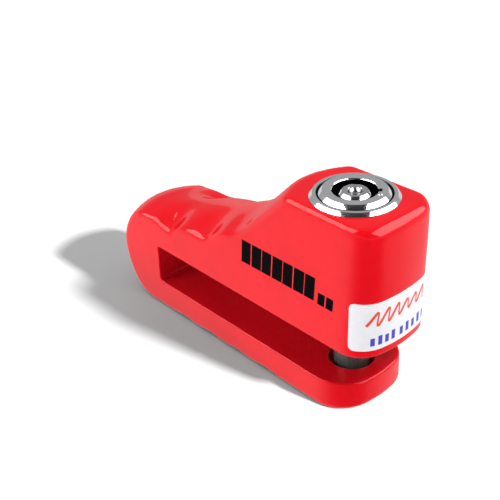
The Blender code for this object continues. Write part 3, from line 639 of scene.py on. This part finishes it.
def body_point(x, z, normal, zone, part):
    """A mid-plane outline point carried out to a fraction of the half width."""
    half = half_width(x, z)
    across = part * half
    inset, setback = 0.0, 0.0
    if zone == "saddle":
        level = smooth_step((-24.0 * MM - x) / (12.0 * MM))
        inset = level * saddle_sag(x) * part * part + groove_depth(x, part)
        inset += round_off(across, half, HEAD_EDGE + (GRIP_EDGE - HEAD_EDGE) * level)
        setback = -(1.0 - level) * REAR_SETBACK * part * part
    elif zone == "heel":
        inset = heel_sag(x, z) * part * part + round_off(across, half, GRIP_EDGE)
    elif zone == "base":
        inset = round_off(across, half, FOOT_EDGE)
    elif zone == "slot":
        inset = round_off(across, half, SLOT_EDGE)
    nx, nz = normal
    if zone == "head":
        grip = smooth_step((x - HEAD_FRONT + PLAN_BLEND) / PLAN_BLEND)
        setback = grip * front_setback(part * half_width(0.0, z), z)
        if z > HEAD_TOP / 2:
            setback -= smooth_step(-x / (15.0 * MM)) * REAR_SETBACK * part * part
        edge = HEAD_EDGE if z > HEAD_TOP / 2 else SLOT_EDGE
        return x - setback, z - nz * round_off(across, half, edge)
    if zone == "jaw":
        grip = smooth_step((x - JAW_TIP + PLAN_BLEND) / PLAN_BLEND)
        setback = grip * tip_setback(part * half_width(0.0, z), z)
        edge = FOOT_EDGE if z < SLOT_FLOOR / 2 else SLOT_EDGE
        return x - setback, z - nz * round_off(across, half, edge)
    if zone == "slot":
        grip = smooth_step((x - JAW_TIP + PLAN_BLEND) / PLAN_BLEND)
        setback = grip * tip_setback(part * half_width(0.0, z), z)
    return x - nx * inset - setback, z - nz * inset


def outline_normals(points):
    normals = []
    count = len(points)
    for i in range(count):
        x0, z0, _ = points[i - 1]
        x1, z1, _ = points[(i + 1) % count]
        length = math.hypot(x1 - x0, z1 - z0)
        normals.append(((z1 - z0) / length, (x0 - x1) / length))
    return normals


def width_parts():
    """Fractions of the half width: even in the middle, close together over the rounded edges."""
    half = HALF_WIDTH_AT_BASE
    edge, corner = 2.4 * MM, 9.4 * MM
    side = [1.0 - edge / half * (1.0 - math.sin(math.radians(90 - 7.5 * k))) for k in range(12)]
    side += [1.0 - (edge + (corner - edge) * k / 16) / half for k in range(17)]
    middle = 1.0 - corner / half
    inner = [middle * (1 - k / 6) for k in range(1, 7)]
    right = side + inner
    return [-p for p in right] + list(reversed(right[:-1]))


def body_mesh():
    points = body_outline()
    normals = outline_normals(points)
    bm = bmesh.new()
    loops = []
    for part in width_parts():
        loop = []
        for (x, z, zone), normal in zip(points, normals):
            px, pz = body_point(x, z, normal, zone, part)
            loop.append(bm.verts.new((px, part * half_width(px, pz), pz)))
        loops.append(loop)
    count = len(points)
    for near, far in zip(loops, loops[1:]):
        for i in range(count):
            j = (i + 1) % count
            bm.faces.new((near[i], near[j], far[j], far[i]))
    bm.faces.new(loops[0])
    bm.faces.new(list(reversed(loops[-1])))
    return mesh_from(bm, "body_casting")


# ---------------------------------------------------------------- housing pieces

def lying_pin(node):
    """Height of the middle and radius of a pin that lies across the bolt's axis."""
    low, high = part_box(node)
    return (low.z + high.z) / 2, (high.z - low.z) / 2


def build_body():
    """The painted casting with the jaw's blind hole, the head's bore and the retaining pin's hole."""
    body = add_piece("body_casting", body_mesh(), LOOKS["red_paint"])
    hole, floor = JAW_HOLE_RADIUS, JAW_HOLE_FLOOR
    flare = [(hole + 1.0 * MM * (1 - math.cos(t)), SLOT_FLOOR - 0.6 * MM + 0.75 * MM * math.sin(t))
             for t in (math.radians(a) for a in range(0, 91, 15))]
    jaw_hole = [(0.0, floor), (hole - 0.5 * MM, floor), (hole, floor + 0.5 * MM), *flare,
                (hole + 1.2 * MM, SLOT_FLOOR + 1.5 * MM), (0.0, SLOT_FLOOR + 1.5 * MM)]
    bolt_bore = BOLT_HIGH.x + 0.15 * MM
    chamber, chamber_floor = CHAMBER_RADIUS, SPRING_LOW.z - 0.1 * MM
    bore = [(0.0, SLOT_CEILING - MM), (bolt_bore + 0.5 * MM, SLOT_CEILING - MM),
            (bolt_bore + 0.5 * MM, SLOT_CEILING), (bolt_bore, SLOT_CEILING + 0.5 * MM),
            (bolt_bore, chamber_floor), (chamber, chamber_floor),
            (chamber, HEAD_TOP + MM), (0.0, HEAD_TOP + MM)]
    pin_z, pin_r = lying_pin("retaining_pin")
    drilled = cross_rod("pin_bore", pin_r + 0.05 * MM, 8.0 * MM, 16.0 * MM, pin_z, 90)
    carve(body, turned("jaw_hole", jaw_hole, 96), turned("head_bore", bore, 128), drilled)
    finish_shading(body, 38.0)
    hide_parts("lock_body")
    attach(body, "housing")


def build_shell():
    """The fixed shell with its bevelled flange, the pin's slot and the pawl's two windows."""
    low, top = FLANGE_LOW.z, FLANGE_HIGH.z
    inner, outer, rim = SHELL_INNER, SHELL_OUTER, FLANGE_HIGH.x
    under, chamfer = HEAD_TOP + 0.06 * MM, FLANGE_CHAMFER
    profile = [(inner, low), (outer, low), (outer, under), (rim, under), (rim, under + 0.12 * MM),
               (rim - chamfer, top), (inner + 0.42 * MM, top), (inner, top - 0.55 * MM)]
    radii = [0.05 * MM] * 4 + [0.04 * MM] + [0.09 * MM] * 2 + [0.04 * MM]
    data = turned("shell", softened(profile, radii), 160)
    shell = add_piece("shell_flange", data, LOOKS["chrome_flange"])
    pin_z, pin_r = lying_pin("retaining_pin")
    slot = cross_rod("slot", pin_r + 0.05 * MM, 8.0 * MM, 16.0 * MM, pin_z, 90)
    pawl_low, pawl_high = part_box("locking_pawl")
    windows = [block("window", (-12.0 * MM, -2.8 * MM, pawl_low.z - 0.2 * MM + lift),
                     (-8.5 * MM, 2.8 * MM, pawl_high.z + 0.2 * MM + lift)) for lift in (0.0, PLUNGER_TRAVEL)]
    finish_shading(carve(shell, slot, *windows), 30.0)
    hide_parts("lock_shell")
    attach(shell, "housing")


def build_return_spring():
    """Round-wire coil of six turns at even pitch, with its wire ends capped."""
    wire, radius = 0.42 * MM, 6.95 * MM
    low, high = SPRING_LOW.z + wire, SPRING_HIGH.z - wire
    turns, steps, sides = 6.0, 48, 14
    bm = bmesh.new()
    rings = []
    count = int(turns * steps)
    for i in range(count + 1):
        part = i / count
        angle = 2 * math.pi * turns * part
        out = Vector((math.cos(angle), math.sin(angle), 0.0))
        centre = out * radius + Vector((0.0, 0.0, low + (high - low) * part))
        rings.append([bm.verts.new(centre + out * (wire * math.cos(a)) + Vector((0, 0, wire * math.sin(a))))
                      for a in (2 * math.pi * k / sides for k in range(sides))])
    for before, after in zip(rings, rings[1:]):
        for k in range(sides):
            n = (k + 1) % sides
            bm.faces.new((before[k], before[n], after[n], after[k]))
    bm.faces.new(rings[0])
    bm.faces.new(rings[-1])
    spring = add_piece("return_coil", mesh_from(bm, "return_coil"), LOOKS["spring_steel"])
    finish_shading(spring, 50.0, weighted=False)
    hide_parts("return_spring")
    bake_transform(spring)


# ---------------------------------------------------------------- label and printed marks

class FrontWrap:
    """Maps (distance along the front, height) to a point off the head's front face."""

    def __init__(self, z):
        self.ys, self.arc = self.across(z)

    def face_x(self, y, z):
        return HEAD_FRONT - front_setback(y * half_width(0.0, z) / half_width(14.0 * MM, z), z)

    def point(self, y, z, off):
        step = 0.02 * MM
        x, ahead, behind = (self.face_x(y + move, z) for move in (0.0, step, -step))
        outward = Vector((2 * step, behind - ahead, 0.0)).normalized()
        return Vector((x, y, z)) + outward * off

    def across(self, z, samples=240):
        """Arc length from the middle for evenly spaced y, so that prints keep their width."""
        ys = np.linspace(0.0, LABEL_REACH, samples)
        xs = np.array([self.face_x(y, z) for y in ys])
        return ys, np.concatenate(([0.0], np.cumsum(np.hypot(np.diff(ys), np.diff(xs)))))

    def place(self, s, z, off):
        y = math.copysign(float(np.interp(abs(s), self.arc, self.ys)), s)
        return self.point(y, z, off)


def skin_piece(name, columns, offsets, place, material):
    """Closed thin sheet: columns of (s, z) points, laid at two distances off a surface."""
    bm = bmesh.new()
    skins = [[[bm.verts.new(place(s, z, off)) for s, z in column] for column in columns]
             for off in offsets]
    last_c, last_r = len(columns) - 1, len(columns[0]) - 1
    for rows in skins:
        for c in range(last_c):
            for r in range(last_r):
                bm.faces.new((rows[c][r], rows[c + 1][r], rows[c + 1][r + 1], rows[c][r + 1]))
    low, high = skins
    for c in range(last_c):
        for r in (0, last_r):
            bm.faces.new((low[c][r], low[c + 1][r], high[c + 1][r], high[c][r]))
    for r in range(last_r):
        for c in (0, last_c):
            bm.faces.new((low[c][r], low[c][r + 1], high[c][r + 1], high[c][r]))
    made = add_piece(name, mesh_from(bm, name), material)
    finish_shading(made, 40.0, weighted=False)
    return made


def build_label():
    """The film round the head's front, and its printed pattern."""
    low, high, corner = LABEL_LOW.z, LABEL_HIGH.z, LABEL_CORNER
    wrap = FrontWrap((low + high) / 2)
    arc_half = float(wrap.arc[-1])
    ends = [arc_half - corner * (1 - math.sin(math.radians(a))) for a in range(0, 91, 9)]
    columns = []
    span = np.linspace(-ends[0], ends[0], 72)[1:-1]
    for s in [-e for e in reversed(ends)] + list(span) + ends:
        over = max(abs(s) - (arc_half - corner), 0.0)
        cut = corner - math.sqrt(max(corner * corner - over * over, 0.0))
        columns.append([(s, low + cut + (high - low - 2 * cut) * r / 12) for r in range(13)])
    # No column is left with no height at the very ends
    straight = high - low - 2 * corner
    for end in (0, -1):
        columns[end] = [(s, low + corner + straight * r / 12) for r, (s, _) in enumerate(columns[end])]
    film = skin_piece("label_film", columns, FILM_SKIN, wrap.place, LOOKS["white_film"])
    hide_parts("front_label")
    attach(film, "housing")
    # Printed pattern: one slanted brush wave over a row of short bars
    line = []
    for i in range(BRUSH_PEAKS * BRUSH_STEPS + 1):
        t = i / (BRUSH_PEAKS * BRUSH_STEPS)
        swing = (1.75 + 0.3 * math.sin(7.0 * t)) * MM * math.sin(2 * math.pi * BRUSH_PEAKS * t - 1.2)
        along = BRUSH_START + (BRUSH_END - BRUSH_START) * t
        line.append(Vector((along + BRUSH_LEAN * swing, BRUSH_HEIGHT + 0.6 * MM * t + swing)))
    columns = []
    for i, here in enumerate(line):
        ahead = line[min(i + 1, len(line) - 1)] - line[max(i - 1, 0)]
        side = Vector((-ahead.y, ahead.x)).normalized()
        # The brush presses harder on the way up
        weight = 0.24 * MM + 0.16 * MM * smooth_step(0.5 + ahead.y / ahead.length)
        columns.append([tuple(here + side * (weight * k)) for k in (-1.0, -0.5, 0.0, 0.5, 1.0)])
    wave = skin_piece("label_wave", columns, PRINT_SKIN, wrap.place, INKS["orange"])
    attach(wave, "housing")
    for i, left in enumerate(BAR_LEFTS):
        tall = (2.75 if i % 2 else 2.35) * MM
        columns = [[(left * MM + BAR_WIDTH * c / 4, BAR_BASE + tall * r / 4) for r in range(5)]
                   for c in range(5)]
        bar = skin_piece(f"label_bar_{i + 1}", columns, PRINT_SKIN, wrap.place, INKS["blue"])
        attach(bar, "housing")


def side_place(s, z, off):
    """A point off the flat near side."""
    return Vector((s, -half_width(s, z) - off, z))


def build_side_mark():
    """A plain printed band of slanted blocks, with a smaller pair beside it."""
    blocks = []
    start, stop, low, high, slant = -28.6, -0.7, 32.0, 38.9, 0.07
    count = 7
    pitch = (stop - start) / count
    for i in range(count):
        blocks.append((start + pitch * i, pitch * (0.93 if i % 2 else 0.88), low, high, slant))
    for i in range(2):
        blocks.append((0.1 + 2.9 * i, 2.4, 31.7, 35.2, slant))
    for i, (left, width, bottom, top, lean) in enumerate(blocks):
        columns = []
        for c in range(7):
            columns.append([((left + width * c / 6 + lean * (bottom + (top - bottom) * r / 6 - low)) * MM,
                             (bottom + (top - bottom) * r / 6) * MM) for r in range(7)])
        mark = skin_piece(f"side_mark_{i + 1}", columns, PAINT_PRINT_SKIN, side_place, INKS["black"])
        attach(mark, "housing")


# ---------------------------------------------------------------- cylinder pieces

def dowel_hole(name, node):
    """Blind cross hole for a dowel, drilled from the barrel's outside."""
    middle, radius = lying_pin(node)
    return cross_rod(name, radius + 0.05 * MM, 5.9 * MM, 10.0 * MM, middle, -90, 24)


def build_barrel():
    """The sliding cylinder: keyway with its nib notch, pin groove, pawl window and dowel holes."""
    low, top, outer = BARREL_LOW.z, BARREL_HIGH.z, BARREL_HIGH.x
    bore, keyway, chamfer = PLUNGER_BORE, KEYWAY_RADIUS, 1.0 * MM
    profile = [(bore, POCKET_TOP), (SPRING_POCKET, POCKET_TOP), (SPRING_POCKET, low), (outer, low),
               (outer, top - chamfer), (outer - chamfer, top), (keyway + RIM_BREAK, top),
               (keyway, top - RIM_BREAK), (keyway, KEYWAY_FLOOR), (bore, KEYWAY_FLOOR)]
    radii = [0.05 * MM, 0.05 * MM, 0.15 * MM, 0.2 * MM, 0.12 * MM, 0.12 * MM, 0.1 * MM, 0.1 * MM, 0.0, 0.0]
    data = turned("barrel", softened(profile, radii), 160)
    barrel = add_piece("plunger_barrel", data, LOOKS["chrome_barrel"])
    pin_z, pin_r = lying_pin("retaining_pin")
    width = pin_r + 0.1 * MM
    groove = block("groove", (-width, 8.3 * MM, pin_z - PLUNGER_TRAVEL - width),
                   (width, 10.0 * MM, pin_z + width))
    pawl_low, pawl_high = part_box("locking_pawl")
    window = block("window", (-10.0 * MM, -2.6 * MM, pawl_low.z - 0.1 * MM),
                   (-6.0 * MM, 2.6 * MM, pawl_high.z + 0.1 * MM))
    notch = block("notch", (5.0 * MM, -0.75 * MM, KEYWAY_FLOOR + MM),
                  (6.7 * MM, 0.75 * MM, top + MM), NIB_ANGLE)
    dimple = turned("dimple", [(0.0, top - 0.6 * MM), (0.62 * MM, top + 0.02 * MM),
                               (0.62 * MM, top + 0.3 * MM), (0.0, top + 0.3 * MM)], 32)
    dimple.transform(Matrix.Rotation(math.radians(15), 4, "Z") @ Matrix.Translation((6.95 * MM, 0, 0)))
    carve(barrel, groove, window, notch, dimple,
          dowel_hole("hole_a", "sleeve_pin"), dowel_hole("hole_b", "carrier_pin"))
    finish_shading(barrel, 30.0)
    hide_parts("plunger_housing")
    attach(barrel, "plunger")


def pin_places():
    """Where the key pins stand round the post."""
    for index in range(PIN_COUNT):
        low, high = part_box(f"key_pin_{index + 1}")
        yield (low.x + high.x) / 2, (low.y + high.y) / 2


def build_spindle():
    """The post with its plug, tail, pin holes and key notch, and the ball in its end."""
    top, post, socket = POST_HIGH.z, POST_RADIUS, SOCKET_RADIUS
    profile = [(0.0, TAIL_SHOULDER), (TAIL_RADIUS, TAIL_SHOULDER), (TAIL_RADIUS, PLUG_BOTTOM),
               (PLUG_RADIUS, PLUG_BOTTOM), (PLUG_RADIUS, PLUG_TOP), (post, PLUG_TOP),
               (post, top - POST_CHAMFER), (post - POST_CHAMFER, top), (socket + 0.25 * MM, top),
               (socket, top - 0.25 * MM), (socket, top - SOCKET_DEPTH), (0.0, top - SOCKET_DEPTH)]
    radii = [0.0, 0.05 * MM, 0.1 * MM, 0.1 * MM, 0.06 * MM, 0.15 * MM, 0.1 * MM, 0.1 * MM, 0.08 * MM,
             0.08 * MM, 0.0, 0.0]
    piece = add_piece("key_post", turned("key_post", softened(profile, radii), 120), LOOKS["chrome_post"])
    tail = block("tail", (-TAIL_HALF, -TAIL_HALF, POST_LOW.z),
                 (TAIL_HALF, TAIL_HALF, TAIL_SHOULDER + 2.0 * MM))
    carve(piece, tail, operation="UNION")
    holes = []
    drill = [(0.0, PLUG_BOTTOM - MM), (PIN_HOLE, PLUG_BOTTOM - MM), (PIN_HOLE, PLUG_TOP + MM),
             (0.0, PLUG_TOP + MM)]
    for x, y in pin_places():
        hole = turned("pin_hole", drill, 32)
        hole.transform(Matrix.Translation((x, y, 0.0)))
        holes.append(hole)
    holes.append(block("post_notch", (3.1 * MM, -0.6 * MM, 53.0 * MM),
                       (4.6 * MM, 0.6 * MM, top + MM), NIB_ANGLE + 90.0))
    finish_shading(carve(piece, *holes), 30.0)
    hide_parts("spindle")
    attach(piece, "spindle")

    ball_low, ball_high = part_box("drill_ball")
    radius = ball_high.x
    centre = ball_high.z - radius
    profile = [(0.0, ball_low.z), (radius - 0.1 * MM, ball_low.z), (radius, ball_low.z + 0.1 * MM)]
    profile += [(radius * math.cos(t), centre + radius * math.sin(t))
                for t in (math.radians(5 * a) for a in range(18))]
    profile.append((0.0, ball_high.z))
    ball = add_piece("centre_ball", turned("centre_ball", profile, 64), LOOKS["hard_steel"])
    finish_shading(ball, 50.0, weighted=False)
    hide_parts("drill_ball")
    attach(ball, "spindle")


def build_bolt():
    """The bolt with its chamfered tip and the hole of its cross pin."""
    radius, low, top, tip = BOLT_HIGH.x, BOLT_LOW.z, BOLT_HIGH.z, 0.8 * MM
    profile = [(0.0, low), (radius - tip, low), (radius, low + tip), (radius, top), (0.0, top)]
    data = turned("bolt", softened(profile, [0.0, 0.3 * MM, 0.3 * MM, 0.1 * MM, 0.0]), 128)
    bolt = add_piece("bolt_rod", data, LOOKS["bolt_steel"])
    pin_z, pin_r = lying_pin("bolt_pin")
    across = cross_rod("across", pin_r + 0.05 * MM, -9.0 * MM, 9.0 * MM, pin_z, 90)
    finish_shading(carve(bolt, across), 30.0)
    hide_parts("lock_bolt")
    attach(bolt, "plunger")


def finish_cad_nodes():
    """The CAD nodes that stay get their slot's material."""
    slots = {entry["node"]: entry["material_slot"] for entry in frame["record"]["subparts"]}
    for name, obj in frame["nodes"].items():
        if obj.hide_render:
            continue
        obj.data.materials.clear()
        obj.data.materials.append(LOOKS[slots[name]])


# ---------------------------------------------------------------- studio

def add_area(name, centre, size, power, target=(-0.02, 0.0, 0.03), colour=(1.0, 1.0, 1.0)):
    light = bpy.data.lights.new(name, "AREA")
    light.shape = "RECTANGLE"
    light.size, light.size_y = size
    light.energy = power
    light.color = colour
    made = bpy.data.objects.new(name, light)
    bpy.context.scene.collection.objects.link(made)
    made.location = centre
    aim = Vector(target) - Vector(centre)
    made.rotation_euler = aim.to_track_quat("-Z", "Y").to_euler()
    return made


def add_card(name, centre, size, radiance):
    """White card that only the reflections see, so that its size is free of the exposure."""
    card = add_area(name, centre, size, radiance * math.pi * size[0] * size[1])
    card.visible_diffuse = False
    return card


def from_angles(azimuth, elevation, distance):
    """A place seen from the lock at these angles; azimuth runs from +X to +Y."""
    a, e = math.radians(azimuth), math.radians(elevation)
    return (distance * math.cos(e) * math.cos(a), distance * math.cos(e) * math.sin(a),
            distance * math.sin(e) + 0.03)


def world_air():
    """Even daylight for the surfaces; a grey wall with dark air over the camera for the reflections."""
    world = bpy.data.worlds.new("studio_air")
    world.use_nodes = True
    tree = world.node_tree
    path = tree.nodes.new("ShaderNodeLightPath")
    direction = tree.nodes.new("ShaderNodeTexCoord").outputs["Generated"]

    def glow(towards, start, stop, low, high):
        """Brightness that goes from low to high as a ray turns towards a direction."""
        facing = tree.nodes.new("ShaderNodeVectorMath")
        facing.operation = "DOT_PRODUCT"
        tree.links.new(direction, facing.inputs[0])
        facing.inputs[1].default_value = towards
        step = tree.nodes.new("ShaderNodeMapRange")
        step.interpolation_type = "SMOOTHSTEP"
        for key, item in (("From Min", start), ("From Max", stop), ("To Min", low), ("To Max", high)):
            step.inputs[key].default_value = item
        tree.links.new(facing.outputs["Value"], step.inputs["Value"])
        return step.outputs["Result"]

    def choose(factor, plain, other):
        mix = tree.nodes.new("ShaderNodeMix")
        mix.data_type = "RGBA"
        tree.links.new(factor, mix.inputs[0])
        for socket, value in ((mix.inputs[6], plain), (mix.inputs[7], other)):
            if isinstance(value, bpy.types.NodeSocket):
                tree.links.new(value, socket)
            else:
                socket.default_value = (value, value, value, 1.0)
        return mix.outputs[2]

    wall = glow((-0.64, 0.57, 0.51), 0.0, 0.7, 0.03, 0.42)
    skyline = glow((0.0, 0.0, -1.0), -0.17, -0.13, 0.0, 1.0)
    wall = choose(skyline, wall, 0.8)
    beside = glow((-0.87, 0.493, 0.0), -0.72, 0.12, 0.12, 1.2)
    ground = choose(glow(AWAY_FROM_CAMERA, 0.5, 0.8, 0.0, 1.0), beside, 0.8)
    below = glow((0.0, 0.0, -1.0), -0.03, 0.06, 0.0, 1.0)
    mirrored = choose(below, wall, ground)
    daylight = glow((0.66, -0.75, 0.15), 0.2, 0.9, AMBIENT, 0.35 * AMBIENT)
    lit = choose(path.outputs["Is Glossy Ray"], daylight, mirrored)
    tree.links.new(choose(path.outputs["Is Camera Ray"], lit, 1.0), tree.nodes["Background"].inputs["Color"])
    return world


def build_studio():
    scene = bpy.context.scene
    scene.view_settings.view_transform = "Standard"
    scene.world = world_air()

    bm = bmesh.new()
    bmesh.ops.create_grid(bm, x_segments=2, y_segments=2, size=2.5)
    floor = add_piece("studio_floor", mesh_from(bm, "studio_floor"), floor_material())
    floor.location.z = -0.25 * MM
    floor.visible_glossy = False

    # One sun draws the soft shadow on the floor only; the other lights leave the floor out
    floor_only = bpy.data.collections.new("floor_only")
    floor_only.objects.link(floor)
    all_but_floor = bpy.data.collections.new("all_but_floor")
    all_but_floor.objects.link(floor)
    all_but_floor.collection_objects[0].light_linking.link_state = "EXCLUDE"
    sun = bpy.data.lights.new("floor_sun", "SUN")
    sun.energy = 1.35 * math.pi
    sun.angle = math.radians(5.0)
    sun_lamp = bpy.data.objects.new("floor_sun", sun)
    scene.collection.objects.link(sun_lamp)
    sun_lamp.rotation_euler = Vector(from_angles(190.9, -36.0, 1.0)).to_track_quat("-Z", "Y").to_euler()
    sun_lamp.light_linking.receiver_collection = floor_only

    lamps = (add_area("key_light", from_angles(12.0, 60.0, 0.55), (0.12, 0.12), 1.6),
             add_area("fill_left", from_angles(-118.0, 14.0, 0.62), (0.5, 0.3), 2.1),
             add_area("fill_right", from_angles(48.0, 30.0, 0.62), (0.5, 0.4), 0.7))
    for lamp in lamps:
        lamp.visible_glossy = False
        lamp.light_linking.receiver_collection = all_but_floor
    add_card("card_left", from_angles(-127.0, 37.0, 0.6), (0.70, 0.54), CARD_RADIANCE)
    add_card("card_right", from_angles(40.0, 38.0, 0.6), (0.70, 0.52), CARD_RADIANCE)

    place_camera()


def place_camera():
    """Its azimuth runs from -Y to +X, and its roll turns it about its own line of sight."""
    scene = bpy.context.scene
    cam_data = bpy.data.cameras.new("camera")
    cam_data.sensor_width = CAMERA_SENSOR
    cam_data.lens = CAMERA_LENS
    cam_data.clip_start = 0.01
    camera = bpy.data.objects.new("camera", cam_data)
    scene.collection.objects.link(camera)
    azimuth, elevation = math.radians(CAMERA_AZIMUTH), math.radians(CAMERA_ELEVATION)
    back_dir = Vector((math.sin(azimuth) * math.cos(elevation), -math.cos(azimuth) * math.cos(elevation),
                       math.sin(elevation)))
    right = (-back_dir).cross(Vector((0, 0, 1))).normalized()
    up = right.cross(-back_dir)
    c, s = math.cos(math.radians(CAMERA_ROLL)), math.sin(math.radians(CAMERA_ROLL))
    rolled_right = right * c + up * s
    rolled_up = up * c - right * s
    basis = Matrix((rolled_right, rolled_up, back_dir)).transposed().to_4x4()
    camera.matrix_world = Matrix.Translation(CAMERA_PLACE) @ basis
    scene.camera = camera


def floor_material():
    g = Graph("floor_pale")
    g.set(Base_Color=g.mix(g.noise(8.0, 2.0), (0.93, 0.93, 0.93), (0.91, 0.91, 0.915)), Roughness=0.7)
    g.set(Specular_IOR_Level=0.1)
    return g.material


build_body()
build_shell()
build_return_spring()
build_label()
build_side_mark()
build_barrel()
build_spindle()
build_bolt()
finish_cad_nodes()
build_studio()
